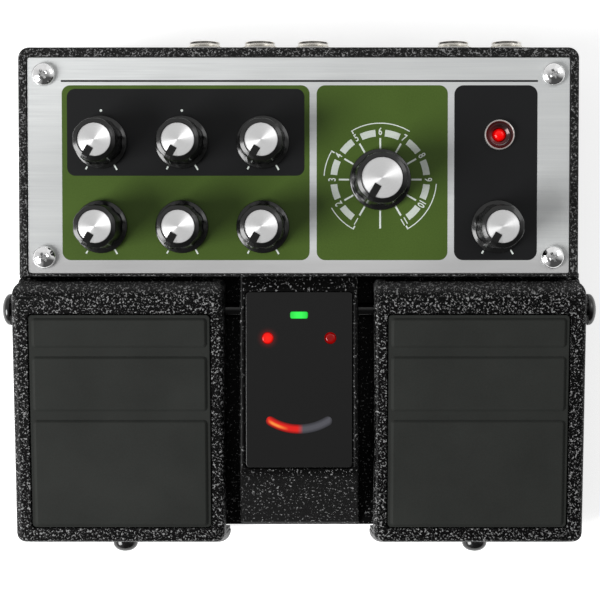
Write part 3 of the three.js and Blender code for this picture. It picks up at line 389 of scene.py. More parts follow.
class Look(Graph):
    """A procedural material for one kind of surface."""

    def __init__(self, name, color, roughness, metallic=0.0, **constants):
        self.material = bpy.data.materials.new(name)
        self.material.use_nodes = True
        super().__init__(self.material.node_tree)
        self.shader = self.tree.nodes["Principled BSDF"]
        self.set("Base Color", (*color, 1))
        self.set("Roughness", roughness)
        self.set("Metallic", metallic)
        for key, value in constants.items():
            self.set(key.replace("_", " "), value)
        self.place = self.node("ShaderNodeTexCoord").outputs["Object"]

    def set(self, key, value):
        self.give(self.shader.inputs[key], value)

    def stretched(self, scale):
        return self.node("ShaderNodeMapping", {"Vector": self.place, "Scale": scale}).outputs[0]

    def noise(self, scale, detail=2.0, rough=0.5, place=None):
        inputs = {"Vector": place or self.place, "Scale": scale, "Detail": detail, "Roughness": rough}
        return self.node("ShaderNodeTexNoise", inputs).outputs[0]

    def bump(self, height, distance, strength=1.0):
        inputs = {"Height": height, "Distance": distance * MM, "Strength": strength}
        self.set("Normal", self.node("ShaderNodeBump", inputs).outputs[0])
        return self

    def distance_from(self, point):
        """Distance in metres from a point given in millimetres."""
        inputs = {0: self.place, 1: tuple(Vector(point) * MM)}
        return self.node("ShaderNodeVectorMath", inputs, operation="DISTANCE").outputs["Value"]


def grey(value):
    return (value, value, value)


WRINKLE = {"scale": 1150, "ridge": (0.03, 0.07), "patchScale": 1400, "patch": (0.54, 0.61), "closer": -0.02}
FLECK = {"scale": 2700, "band": (0.66, 0.72), "share": 0.7}
PLATE_SHADE = {"from": -28, "to": -22, "grey": 0.54}  # the plate's front edge lies in shade


def paint(name, light, axis, start, end, sparse, ground):
    """Black wrinkle paint: light worms and flecks over a dark ground, painted glints of its wrinkles; past a
    place along one axis they lie closer and the ground is paler, a painted highlight.
    """
    look = Look(name, grey(0.003), 0.36, Specular_IOR_Level=0.08)
    field = look.noise(WRINKLE["scale"], 1.5, 0.5)
    ridge = look.ramp(look.apart(field, 0.5), *WRINKLE["ridge"], 1, 0)
    past = look.fade(look.axes(look.place)[axis], start, end)
    thin = look.ramp(past, 0, 1, sparse, WRINKLE["closer"])

    def patches(scale):
        return look.math("SUBTRACT", look.noise(scale, 1.0), thin)

    # The light worms and flecks are painted glints on the wrinkles, whose relief the bump gives.
    worms = look.times(ridge, look.ramp(patches(WRINKLE["patchScale"]), *WRINKLE["patch"]))
    flecks = look.ramp(patches(FLECK["scale"]), *FLECK["band"], 0, FLECK["share"])
    marks = look.math("MAXIMUM", worms, flecks)
    # Past the place the ground turns paler: a painted highlight.
    under = look.mix(past, grey(0.0018), grey(ground))
    look.set("Base Color", look.mix(marks, under, grey(light)))
    look.set("Roughness", look.ramp(marks, 0, 1, 0.42, 0.3))
    return look.bump(look.plus(look.times(field, 0.5), marks), 0.06, 0.5).material


def brushed_plate():
    look = Look("panel_metal", grey(0.74), 0.36, 0.45, Anisotropic=0.4)
    streaks = look.noise(1.0, 3.0, 0.6, look.stretched((45, 2600, 2600)))
    broad = look.noise(1.0, 2.0, 0.5, look.stretched((10, 420, 420)))
    both = look.plus(streaks, broad)
    metal_color = look.mix(look.ramp(both, 0.7, 1.3), (0.65, 0.665, 0.665), (0.725, 0.74, 0.735))
    front = look.fade(look.axes(look.place)[1], PLATE_SHADE["from"], PLATE_SHADE["to"], 1, 0)
    look.set("Base Color", look.mix(front, metal_color, grey(PLATE_SHADE["grey"])))
    look.set("Roughness", look.ramp(streaks, 0.3, 0.7, 0.34, 0.42))
    return look.bump(both, 0.01, 0.25).material


def spun_cap():
    """Aluminium turned on a lathe: its fine rings throw light in fans."""
    look = Look("cap_metal", grey(0.9), 0.34, 0.7, Anisotropic=0.85, Anisotropic_Rotation=0.25)
    look.set("Tangent", look.node("ShaderNodeTangent", direction_type="RADIAL", axis="Z").outputs[0])
    x, y, _ = look.axes(look.place)
    turned = look.node("ShaderNodeCombineXYZ", {0: look.times(look.length(x, y), 5200)}).outputs[0]
    rings = look.noise(1.0, 3.0, 0.7, turned)
    look.set("Base Color", look.mix(look.ramp(rings, 0.3, 0.7), grey(0.84), grey(0.95)))
    return look.bump(rings, 0.01, 0.25).material


def metal(name, color, roughness, grain=0.06):
    look = Look(name, color, roughness, 1.0)
    smear = look.noise(420, 3.0, 0.6)
    look.set("Roughness", look.ramp(smear, 0.3, 0.7, roughness, roughness + grain))
    darker = tuple(c * 0.9 for c in color)
    look.set("Base Color", look.mix(look.ramp(smear, 0.35, 0.65), darker, color))
    return look.bump(smear, 0.01, 0.2).material


def plastic(name, color, roughness, specular=0.35, grain=0.25, scale=1800, bump=0.02, **constants):
    look = Look(name, color, roughness, Specular_IOR_Level=specular, **constants)
    fine = look.noise(scale, 3.0, 0.6)
    cloud = look.noise(60, 2.0, 0.5)
    both = look.plus(fine, cloud)
    low = tuple(c * (1 - grain) for c in color)
    high = tuple(c * (1 + grain) for c in color)
    look.set("Base Color", look.mix(look.ramp(both, 0.7, 1.3), low, high))
    look.set("Roughness", look.ramp(fine, 0.3, 0.7, roughness * 0.9, roughness * 1.12))
    return look.bump(fine, bump, 0.5).material


def ink(name, low, high, roughness=0.35):
    """Printed enamel with a faint cloudiness."""
    look = Look(name, high, roughness, Specular_IOR_Level=0.25)
    cloud = look.noise(45, 2.0, 0.5)
    fine = look.noise(2400, 2.0, 0.5)
    look.set("Base Color", look.mix(look.ramp(look.plus(cloud, fine), 0.7, 1.3), low, high))
    return look.bump(fine, 0.01, 0.25).material


def circuit_board():
    green = (0.02, 0.09, 0.035)
    look = Look("board", green, 0.35, Specular_IOR_Level=0.4)
    inputs = {"Vector": look.place, "Scale": 160.0, "Mortar Size": 0.03, "Color1": (*green, 1)}
    inputs.update({"Color2": (0.018, 0.075, 0.03, 1), "Mortar": (0.04, 0.16, 0.07, 1)})
    look.set("Base Color", look.node("ShaderNodeTexBrick", inputs).outputs[0])
    return look.bump(look.noise(900, 2.0), 0.03, 0.4).material


def glow(name, centre, core, rim, radius, strength, color=(0.3, 0.01, 0.01), roughness=0.2):
    """A lit lens: brightest at its middle."""
    look = Look(name, color, roughness, Specular_IOR_Level=0.3, Emission_Strength=strength)
    share = look.fade(look.distance_from(centre), 0.15 * radius, radius)
    look.set("Emission Color", look.mix(share, core, rim))
    return look.bump(look.noise(900, 2.0), 0.01, 0.2).material


# Finishes
# The housing's rim above Z 37–38 mm gets closer glints and a paler ground: a painted highlight.
PAINT = paint("housing_paint", 0.22, 2, 37.0, 38.0, 0.06, 0.0095)
# The treadles' rolled rear ends past Y 1.5–4 mm get a paler ground: a painted highlight.
TREADLE_PAINT = paint("treadle_paint", 0.28, 1, 1.5, 4.0, 0.0, 0.035)
PLATE_METAL = brushed_plate()
CAP = spun_cap()
CHROME = metal("bright_metal", grey(0.86), 0.07, 0.03)
NICKEL = metal("nickel", (0.72, 0.70, 0.66), 0.2, 0.08)
BOLT = plastic("dark_metal", grey(0.006), 0.14, 0.5, 0.2, 900, 0.01)
SPRING_STEEL = metal("spring_steel", (0.42, 0.43, 0.45), 0.3)
COVER = plastic("cover_paint", grey(0.012), 0.5, 0.35, 0.25, 1200, 0.06)
KNOB_PLASTIC = plastic("knob_plastic", grey(0.006), 0.2, 0.42, 0.2, 2200, 0.008)
RUBBER = plastic("pad_rubber", (0.024, 0.0255, 0.0235), 0.62, 0.06, 0.14, 2600, 0.03)
FOOT_RUBBER = plastic("foot_rubber", grey(0.018), 0.7, 0.25, 0.2, 1500, 0.05)
DARK_PLASTIC = plastic("dark_plastic", grey(0.014), 0.4, 0.4, 0.2, 1800, 0.03)
BOARD = circuit_board()
INK_GREEN = ink("ink_green", (0.051, 0.090, 0.013), (0.064, 0.112, 0.018))
INK_BLACK = ink("ink_black", (0.0045, 0.0047, 0.0052), (0.0065, 0.0068, 0.0074), 0.4)
INK_WHITE = ink("ink_white", (0.60, 0.65, 0.61), (0.72, 0.77, 0.73), 0.4)
INK_GREY = ink("ink_grey", (0.52, 0.57, 0.52), (0.60, 0.65, 0.59), 0.4)


# Housing


def rear_box():
    """The raised box behind the treadles, with its rounded rim."""
    x, front, rear = cast_high.x - EASE, FRONT_WALL_Y + EASE, cast_high.y - EASE

    def ring(inset, height):
        ring_x, ring_y = (inset - x, x - inset), (front + inset / 3, rear - inset)
        rear_corner, front_corner = RIM["corner"] - inset, max(RIM["frontCorner"] - inset, 0.1)
        outline = rounded_rectangle(ring_x, ring_y, [rear_corner, rear_corner, front_corner, front_corner])
        return at_height(outline, height)

    rings = [ring(0, 0)]
    for inset, drop in edge_round(RIM["round"]):
        rings.append(ring(inset, lambda y, d=drop: plate_height(y, RIM["rise"] - EASE - d)))
    return Skin().loft(rings).mesh("rear_box")


def deck_height(y):
    return min(DECK["z"], DECK["z"] + (y - DECK["bendY"]) * tan(math.radians(DECK["slope"])))


def base_block():
    """The low base below the treadles."""
    x, front = cast_high.x - EASE, cast_low.y + EASE
    rear, top = FRONT_WALL_Y + 5, DECK["z"] + DECK["skin"]
    plan = rounded_rectangle((-x, x), (front, rear), RIM["corner"])
    profile = [(front - 1, 0), (rear, 0), (rear, top), (DECK["bendY"], top)]
    profile.append((front - 1, deck_height(front - 1) + DECK["skin"]))
    body = Skin().prism(plan, 0.5, DECK["z"] + 1).mesh("base")
    return combine(body, Skin().sideways(profile, -x - 1, x + 1).mesh("deck"), "INTERSECT")


def island_height(y):
    """The island's top: a gentle slope that softens into the steep nose."""
    front = cast_low.y + ISLAND["frontInset"]
    flat = ISLAND["rearZ"] + (y - FRONT_WALL_Y) * tan(math.radians(ISLAND["slope"]))
    break_z = ISLAND["rearZ"] + (NOSE["breakY"] - FRONT_WALL_Y) * tan(math.radians(ISLAND["slope"]))
    fall = (break_z - NOSE["frontZ"]) / (NOSE["breakY"] - front)
    nose = NOSE["frontZ"] + (y - front) * fall
    return (flat + nose - math.hypot(flat - nose, NOSE["soften"])) / 2 - EASE


def island_half(z):
    share = (ISLAND["crownZ"] - z) / (ISLAND["crownZ"] - cast_low.z)
    return ISLAND["top"] + (ISLAND["foot"] - ISLAND["top"]) * share - EASE


def island_block():
    """The centre island: a loft of cross-sections from its nose to the front wall."""
    front = cast_low.y + ISLAND["frontInset"] + EASE
    radius, steps, floor = NOSE["round"], 5, 8.0
    stations = [(front + inset, drop) for inset, drop in edge_round(radius)]
    stations += [(NOSE["breakY"] + step, 0) for step in (-12, -6, -3, -2, -1.2, -0.6, 0, 0.6, 1.2, 2, 3, 6)]
    stations += [(FRONT_WALL_Y - 8, 0), (FRONT_WALL_Y + WALL_OVERLAP, 0)]
    rings = []
    for y, drop in stations:
        top = island_height(y) - drop
        half = island_half(top - radius) - drop
        ring = [(-island_half(floor) + drop, y, floor)]
        for side, start in ((-1, -PI / 2), (1, 0)):
            for i in range(steps + 1):
                angle = start + i / steps * PI / 2
                reach = side * (half - radius) + radius * sin(angle)
                ring.append((reach, y, top - radius + radius * cos(angle)))
        ring.append((island_half(floor) - drop, y, floor))
        rings.append(ring)
    return Skin().loft(rings).mesh("island")


def side_blocks(inner, levels, front, corner):
    """A block before the front wall at each side, from inside out to one place at each level."""
    made = []
    for side in (-1, 1):
        rings = []
        for out, z in levels:
            x = sorted((side * inner, side * out))
            rings.append(at_height(rounded_rectangle(x, (front, FRONT_WALL_Y + WALL_OVERLAP), corner), z))
        made.append(Skin().loft(rings).mesh("block"))
    return made


def lug_blocks():
    out = cast_high.x - EASE
    levels = ((out, DECK["z"] - 2), (out, LUG["top"]))
    return side_blocks(cast_high.x - LUG["inside"], levels, LUG["front"], 0.2)


def wall_ribs():
    """The flared corners of the front wall, which close the view down beside the treadles' rear ends."""
    levels = [(WALL_RIB[out], WALL_RIB[z]) for out, z in (("foot", "bottom"), ("head", "top"))]
    return side_blocks(cast_high.x - 1, levels, FRONT_WALL_Y - WALL_RIB["reach"], 0.3)


def housing():
    envelope = union(rear_box(), base_block(), island_block(), *lug_blocks())
    mesh = union(combine(closed_copy("chassis"), envelope, "INTERSECT"), *wall_ribs())
    piece("cast_housing", mesh, PAINT, "housing", ["chassis"], smooth=30)


def plate_holes(grown=0.0):
    """Cutters for the plate's round holes: one for each dial and one for the peak lamp."""
    holes = [(dial_place(name), PLATE_HOLE["dial"]) for name in DIALS]
    holes.append((on_plate("peak_lamp"), PLATE_HOLE["lamp"]))
    return [Skin().prism(circle(r + grown, 32, (c.x, c.y)), -3, 3).mesh("hole") for c, r in holes]


def control_plate():
    """The brushed plate with eased edges, a little closer to the rim than the solid."""
    x, y = plate_size.x / 2 + PLATE_GROWN, plate_depth / 2 + PLATE_GROWN
    levels = [(0, -PLATE_THICK + EASE, PLATE_CORNER)]
    levels += [(inset, -drop, PLATE_CORNER - inset) for inset, drop in edge_round(0.25, 4)]
    mesh = cut(Skin().slab((-x, x), (-y, y), levels).mesh("plate"), *plate_holes())
    piece("brushed_plate", mesh, PLATE_METAL, "housing", ["control_plate"], PLATE, smooth=30)


# Prints on the plate: places from its middle, in its own frame
PRINT = {"green": 0.02, "black": 0.035, "white": 0.05, "root": -0.15}
BLOCK_Y = (-26.72, 22.6)
GREEN_BLOCKS = ((-66.84, 3.1), (5.1, 42.1))
BLACK_BLOCK = (43.95, 67.4)
TONE_BLOCK = ((-65.4, 1.65), (-2.87, 21.6))
RULE = {"x": (-67.05, 67.5), "y": 23.8, "width": 0.52}
DIAL_MARK = {"right": (7.3, 8.95), "left": (7.85, 8.75), "width": 0.46, "dot": 0.36, "dotAt": 8.95}
SELECTOR_MARKS = {"inner": 8.8, "outer": 11.7, "last": 13.8, "width": 0.5}
SELECTOR_BAND = {"inner": 12.2, "outer": 14.1, "from": 5.8, "to": 24.2}
SELECTOR_ARCS = ((-151.3, -120.1), (-86.2, -59.7), (-30.4, 31.6), (94.4, 150.6))
SELECTOR_STOPS = (-151.3, -59.7, -30.4, 150.6)
ARC = {"radius": 15.9, "width": 0.28, "stop": 1.1}
DIGIT = {"radius": 13.5, "height": 2.1, "capital": 0.72, "narrow": 0.74, "bold": 0.048, "spacing": 0.9}


def sector(centre, inner, outer, start, end, steps=14):
    """A ring sector between two clock angles in degrees, clockwise from the rear."""
    angles = [math.radians(90 - start - (end - start) * i / steps) for i in range(steps + 1)]
    return [polar(centre, outer, a) for a in reversed(angles)] + [polar(centre, inner, a) for a in angles]


def bar(centre, clock, inner, outer, width):
    """A straight mark that points away from a centre, at a clock angle in degrees."""
    angle = math.radians(90 - clock)
    corners = [(inner, -width / 2), (outer, -width / 2), (outer, width / 2), (inner, width / 2)]
    return [polar(polar(centre, a, angle), b, angle + PI / 2) for a, b in corners]


def printed(outlines, top):
    skin = Skin()
    for outline in outlines:
        skin.prism(outline, PRINT["root"], top)
    return skin.mesh("print")


def digit(text):
    """A number's mesh in millimetres, standing on its own middle."""
    curve = bpy.data.curves.new("digit", "FONT")
    curve.body = text
    curve.size = DIGIT["height"] / DIGIT["capital"]
    curve.align_x = curve.align_y = "CENTER"
    curve.offset = DIGIT["bold"]
    curve.extrude = (PRINT["white"] - PRINT["root"]) / 2
    curve.space_character = DIGIT["spacing"]
    return evaluated(linked("digit", curve))


def selector_numbers(centre):
    work = bmesh.new()
    middle = (PRINT["white"] + PRINT["root"]) / 2
    for number in range(1, 12):
        clock = math.radians((number - 6) * 30)
        mesh = digit(str(number))
        at = Vector((*polar(centre, DIGIT["radius"], PI / 2 - clock), middle))
        turn = Matrix.Rotation(-clock, 4, "Z") @ Matrix.Diagonal((DIGIT["narrow"], 1, 1, 1))
        mesh.transform(Matrix.Scale(MM, 4) @ Matrix.Translation(at) @ turn)
        work.from_mesh(mesh)
    bmesh.ops.remove_doubles(work, verts=work.verts, dist=WELD)
    made = bpy.data.meshes.new("numbers")
    work.to_mesh(made)
    work.free()
    return made


def dial_prints(name):
    """A small dial's two end ticks, and for two of the dials a dot at the middle."""
    centre = dial_place(name)
    made = []
    for clock, side in ((150, "right"), (210, "left")):
        made.append(bar(centre, clock, *DIAL_MARK[side], DIAL_MARK["width"]))
    if name in ("bass", "treble"):
        made.append(circle(DIAL_MARK["dot"], 20, (centre.x, centre.y + DIAL_MARK["dotAt"])))
    return made


def selector_prints(centre):
    """The stepped dial's twelve ticks, and its outer arcs with their stops."""
    made = []
    marks = SELECTOR_MARKS
    for step in range(12):
        outer = marks["last"] if step == 6 else marks["outer"]
        made.append(bar(centre, step * 30, marks["inner"], outer, marks["width"]))
    near, far = ARC["radius"] - ARC["width"] / 2, ARC["radius"] + ARC["width"] / 2
    made += [sector(centre, near, far, start, end, 24) for start, end in SELECTOR_ARCS]
    made += [bar(centre, clock, far - ARC["stop"], far, ARC["width"] * 1.4) for clock in SELECTOR_STOPS]
    return made


def prints():
    holes = plate_holes(0.1)

    def add(name, mesh, finish):
        piece(name, mesh, finish, "housing", place=PLATE, smooth=30)

    greens = printed([rounded_rectangle(x, BLOCK_Y, 2.4) for x in GREEN_BLOCKS], PRINT["green"])
    add("print_green", cut(greens, *holes), INK_GREEN)
    blacks = [rounded_rectangle(BLACK_BLOCK, BLOCK_Y, 2.6), rounded_rectangle(*TONE_BLOCK, 2.3)]
    rule_y = (RULE["y"] - RULE["width"] / 2, RULE["y"] + RULE["width"] / 2)
    blacks.append(rounded_rectangle(RULE["x"], rule_y, 0.05, 1))
    add("print_black", cut(printed(blacks, PRINT["black"]), *holes), INK_BLACK)

    centre = dial_place("mode_selector")
    whites = [mark for name in DIALS if name != "mode_selector" for mark in dial_prints(name)]
    add("print_white", printed(whites + selector_prints(centre), PRINT["white"]), INK_WHITE)
    band = SELECTOR_BAND
    steps = range(-150, 150, 30)
    parts = [sector(centre, band["inner"], band["outer"], s + band["from"], s + band["to"]) for s in steps]
    add("print_grey", printed(parts, PRINT["white"]), INK_GREY)
    add("print_numbers", selector_numbers(centre), INK_WHITE)


# Knobs and their caps


def knob_mesh(size):
    top, bottom = size["height"], KNOB["lift"]
    flange_top = bottom + KNOB["flange"]
    flange, foot, crown = size["flange"], size["foot"], size["crown"]
    well = size["cap"] + CAP_SEAT["gap"]
    lip = size["cap"] + KNOB["lip"]
    # radius, height, and share of the flutes' depth
    profile = [
        (flange - 0.35, bottom, 0),
        (flange - 0.08, bottom + 0.12, 0),
        (flange, bottom + 0.4, 0),
        (flange, flange_top - 0.45, 0),
        (flange - 0.12, flange_top - 0.14, 0),
        (flange - 0.45, flange_top, 0),
        (foot + 0.5, flange_top + 0.12, 0.3),
        (foot + 0.15, flange_top + 0.35, 0.8),
        (foot, flange_top + 0.8, 1),
        ((foot + crown) / 2, (flange_top + top) / 2, 1),
        (crown, top - 3.2, 0.9),
        (crown, top - 2.0, 0.7),
        (crown, top - 1.2, 0.5),
        (crown - 0.02, top - 0.85, 0.42),
        (crown - 0.08, top - 0.62, 0.36),
        (crown - 0.2, top - 0.46, 0.3),
        (lip + 0.16, top - 0.07, 0),
        (lip + 0.06, top - 0.01, 0),
        (lip, top, 0),
        (well, top, 0),
        (well, top - CAP_SEAT["recess"], 0),
    ]
    steps = KNOB["lobes"] * 14
    rings = []
    for radius, z, share in profile:
        ring = []
        for i in range(steps):
            angle = i / steps * 2 * PI
            hollow = ((1 + cos(KNOB["lobes"] * angle)) / 2) ** 2
            reach = radius * (1 - KNOB["flute"] * share * hollow)
            ring.append((reach * cos(angle), reach * sin(angle), z))
        rings.append(ring)
    return Skin().loft(rings).mesh("knob")


def pointer_mesh(size):
    """The rib from the cap's middle over the crown and down to the flange."""
    top = size["height"]
    root = KNOB["lift"] + KNOB["flange"] - 0.1
    start = POINTER["start"]
    profile = [
        (start, top - CAP_SEAT["recess"] - 0.4),
        (size["foot"] / 2, root),
        (size["flange"] - 0.6, root),
        (size["crown"] + 0.1, top - 1.0),
        (size["crown"] - 0.2, top - 0.35),
        (size["cap"] + 0.5, top),
        (start, top),
    ]
    half = POINTER["width"] / 2
    rings = [[(px, y, pz) for px, pz in reversed(profile)] for y in (half, -half)]
    mesh = bevelled(Skin().loft(rings).mesh("pointer"), 0.12, 2)
    mesh.transform(Matrix.Rotation(POINTER["angle"], 4, "Z"))
    return mesh


def shaft_mesh():
    return Skin().turned([(2.7, -8.0), (3.0, -7.7), (3.0, KNOB["lift"] + 0.3)], 40).mesh("shaft")


def cap_mesh(size):
    bottom = size["height"] - CAP_SEAT["recess"] + 0.3
    top = bottom + CAP_SEAT["thick"]
    radius = size["cap"]
    edge = [(radius, bottom), (radius, top - 0.14), (radius - 0.05, top - 0.04), (radius - 0.14, top)]
    disc = Skin().turned([*edge, (radius * 0.5, top + 0.004)], 96).mesh("cap")
    width = POINTER["width"] / 2 + 0.05
    slot = rounded_rectangle((POINTER["start"] - 0.08, 2 * radius), (-width, width), 0.15, 3)
    tool = Skin().prism(slot, 0, 2 * top).mesh("slot")
    tool.transform(Matrix.Rotation(POINTER["angle"], 4, "Z"))
    return cut(disc, tool)


def dials():
    for name in DIALS:
        size = LARGE_KNOB if name == "mode_selector" else SMALL_KNOB
        place = PLATE @ Matrix.Translation(dial_place(name))
        knob = union(knob_mesh(size), pointer_mesh(size), shaft_mesh())
        piece(name + "_knob", knob, KNOB_PLASTIC, name, ["knob_" + name], place, 28)
        piece(name + "_cap", cap_mesh(size), CAP, name, ["cap_" + name], place)


# Screws, bolts and the peak lamp
SCREW = {"radius": 3.25, "seat": 0.3, "rise": 2.0, "turn": 0.5}
CROSS = {"arm": 1.75, "slot": 0.9, "from": 1.0, "to": 3.0}
SCREW_SHANK = ((1.2, -7.5), (1.5, -7.1), (1.5, 0.7))
SIDE_BOLT = {"pivot": (4.6, 2.6), "stop": (3.7, 3.4)}  # radius and rise of the heads
BOLT_SOCKET = {"half": 1.5, "depth": 1.6}
PEAK_RING = ((2.05, -4.0), (2.9, -4.0), (2.9, 0.05), (4.15, 0.05), (4.25, 0.15), (4.25, 0.85), (4.2, 1.1))
PEAK_RING += ((4.1, 1.25), (3.98, 1.28), (3.88, 1.2), (3.82, 1.0))
PEAK_CUP = ((3.7, 0.55), (3.4, 0.15), (2.9, -0.25), (2.4, -0.55), (2.05, -0.7))
PEAK_LENS = {"radius": 1.75, "root": -10.1, "seat": -0.9, "rise": 1.2}
PEAK_EDGE = (3.72, 3.84)  # radii between which the cup turns into the ring


def dome(radius, seat, rise, edge=0.2, steps=8):
    """A domed head's profile above its seat."""
    profile = [(0, seat), (radius - 0.12, seat), (radius, seat + 0.12)]
    for i in range(steps + 1):
        angle = i / steps * PI / 2
        height = seat + rise * (edge + (1 - edge) * sin(angle))
        profile.append((radius * cos(angle) if i < steps else 0, height))
    return profile


def cross_cutter(arm, width, bottom, top):
    """A tapered cross-head recess."""
    bars = []
    for across in (False, True):
        rings = []
        for z, share in ((bottom, 0.45), (top, 1.15)):
            a, b = (arm * share, width / 2 * share)
            if across:
                a, b = b, a
            rings.append([(-a, -b, z), (a, -b, z), (a, b, z), (-a, b, z)])
        bars.append(Skin().loft(rings).mesh("bar"))
    return union(*bars)


def panel_screws():
    for corner in ("rear_left", "rear_right", "front_left", "front_right"):
        node = "panel_screw_" + corner
        middle = on_plate(node)
        place = PLATE @ Matrix.Translation((middle.x, middle.y, 0)) @ Matrix.Rotation(SCREW["turn"], 4, "Z")
        head = Skin().lathe(dome(SCREW["radius"], SCREW["seat"], SCREW["rise"]), 64).mesh("head")
        head = cut(head, cross_cutter(*CROSS.values()))
        shank = Skin().turned(SCREW_SHANK, 32).mesh("shank")
        piece("screw_" + corner, union(head, shank), CHROME, "housing", [node], place)


def side_bolt(node, axis, sign, radius, rise, body):
    """A domed bolt with a hexagonal socket, along X or Y."""
    low, high = box_mm(node)
    index = "xyz".index(axis)
    root = (low if sign > 0 else high)[index]
    length = high[index] - low[index]
    seat = length - rise
    at = (low + high) / 2
    at[index] = root
    head = Skin().lathe(dome(radius, seat, rise), 64).mesh("head")
    hexagon = circle(BOLT_SOCKET["half"] / cos(PI / 6), 6)
    socket = Skin().prism(hexagon, length - BOLT_SOCKET["depth"], length + 1).mesh("socket")
    shank = Skin().turned([(1.6, 0), (2.0, 0.4), (2.0, seat + 0.3)], 32).mesh("shank")
    mesh = union(cut(head, socket), shank)
    place = Matrix.Translation(at) @ facing(axis, sign)
    piece(node + "_head", mesh, BOLT, body, [node], place)


def side_bolts():
    for side, sign in (("left", -1), ("right", 1)):
        side_bolt("pivot_bolt_" + side, "x", sign, *SIDE_BOLT["pivot"], "housing")
        side_bolt("stop_screw_" + side, "y", -1, *SIDE_BOLT["stop"], "treadle_" + side)


def peak():
    middle = on_plate("peak_bezel")
    place = PLATE @ Matrix.Translation((middle.x, middle.y, 0))
    rings = [at_height(circle(r, 64), z) for r, z in PEAK_RING + PEAK_CUP]
    mesh = Skin().loft(rings, loop=True).mesh("bezel")
    piece("peak_ring", mesh, peak_metal(), "housing", ["peak_bezel"], place)
    radius, root, seat, rise = PEAK_LENS.values()
    profile = [(0, root), (radius, root), (radius, seat)]
    profile += [(radius * cos(a), rise * sin(a) + seat) for a in [i / 8 * PI / 2 for i in range(1, 8)]]
    lens = Skin().lathe([*profile, (0, seat + rise)], 40).mesh("lens")
    look = glow("peak_lens", (0, 0, 0.3), (0.95, 0.0, 0.0), (0.2, 0.0, 0.0), 2.2, 1.0, (0.3, 0.0, 0.0))
    piece("peak_lens", lens, look, "housing", ["peak_lamp"], place)


def peak_metal():
    """A satin ring round a dark cup, whose left side glows with a painted reflection of the lens's red
    light.
    """
    look = Look("peak_metal", grey(0.6), 0.3, 0.6)
    x, y, _ = look.axes(look.place)
    radius = look.length(x, y)
    look.set("Base Color", look.mix(look.fade(radius, *PEAK_EDGE), (0.035, 0.02, 0.02), (0.56, 0.55, 0.53)))
    look.set("Roughness", look.fade(radius, *PEAK_EDGE, 0.16, 0.38))
    # Painted reflection: the cup glows red towards its left and front and near the lens.
    side = look.fade(look.plus(x, look.times(y, 0.6)), -2.5, 1.5, 1, 0.1)
    near = look.times(look.fade(radius, 1.8, 3.8, 1, 0), side)
    look.set("Emission Color", look.mix(near, grey(0.0), (0.13, 0.006, 0.008)))
    look.set("Emission Strength", 1.0)
    return look.bump(look.noise(500, 2.0), 0.02, 0.3).material


# Treadles and their pads


def treadle_sizes(side):
    """Outer places of a treadle's top, and the height of its upper face before its end rolls down."""
    low, high = box_mm("treadle_" + side)
    draft, slope = TREADLE["draft"], math.radians(TREADLE["slope"])
    barrel_y = high.y - TREADLE["barrel"]
    # the box's top is the barrel's crown, straight above the arc's centre
    barrel_z = high.z - TREADLE["barrel"]

    def height(y):
        return barrel_z + TREADLE["barrel"] / cos(slope) + (y - barrel_y) * tan(slope)

    return (low.x + draft, high.x - draft), (low.y + draft, high.y), height


def treadle_block(side):
    """The treadle's outer form in plan, with drafted sides and rounded upper edges."""
    x, y, height = treadle_sizes(side)
    skirt, corner = TREADLE_SKIRT, TREADLE_CORNER
    rear = [corner["rearInner"], corner["rearOuter"]]
    radii = (rear if side == "left" else rear[::-1]) + [corner["front"]] * 2

    def skirt_bottom(py):
        share = (py - y[0]) / (y[1] - y[0])
        return skirt["front"] + (skirt["rear"] - skirt["front"]) * share - skirt["below"]

    def ring(outer, other, level):
        insets = (outer, other) if side == "left" else (other, outer)
        ring_x = (x[0] + insets[0], x[1] - insets[1])
        ring_y = (y[0] + other, y[1] - EASE)
        outline = rounded_rectangle(ring_x, ring_y, [r - min(other, 1.2) for r in radii])
        return [(px, py, level(px, py)) for px, py in outline]

    grown = EASE - TREADLE["draft"] * skirt["flare"]
    rings = [ring(grown, grown, lambda px, py: skirt_bottom(py))]
    outer_edge = edge_round(TREADLE_ROUND["outer"])
    other_edge = edge_round(TREADLE_ROUND["other"])
    middle = (x[0] + x[1]) / 2
    outside = -1 if side == "left" else 1
    for (outer, outer_drop), (other, other_drop) in zip(outer_edge, other_edge):

        def level(px, py, near=outer_drop, far=other_drop):
            return height(py) - EASE - (near if (px - middle) * outside > 0 else far)

        rings.append(ring(outer + EASE, other + EASE, level))
    return Skin().loft(rings).mesh("treadle")


def treadle_roll(side):
    """The side view, whose rear end rolls down, drawn out along X with rounded ends."""
    x, y, height = treadle_sizes(side)
    slope, radius = math.radians(TREADLE["slope"]), TREADLE["barrel"]
    centre = (y[1] - radius, height(y[1] - radius) - radius / cos(slope))
    steps = 24

    def ring(place, inset):
        reach = radius - 2.5 * EASE - inset
        arc = [(PI / 2 + slope) * i / steps for i in range(steps + 1)]
        profile = [(y[0] - 5, 0), (centre[0] + reach, 0)]
        profile += [(centre[0] + reach * cos(a), centre[1] + reach * sin(a)) for a in arc]
        profile.append((centre[0] - radius, height(centre[0] - radius) + 2 - 2 * inset))
        profile.append((y[0] - 5, height(y[0]) + 2 - 2 * inset))
        return [(place, py, pz) for py, pz in profile]

    edge = edge_round(TREADLE_ROUND["other"], 4)
    beyond, tapered = 2.0, TREADLE_ROUND["other"] + 0.6
    rings = [ring(x[0] - beyond, tapered)]
    rings += [ring(x[0] + EASE / 2 + inwards, inset) for inwards, inset in edge]
    rings += [ring(x[1] - EASE / 2 - inwards, inset) for inwards, inset in reversed(edge)]
    rings.append(ring(x[1] + beyond, tapered))
    return Skin().loft(rings).mesh("roll")


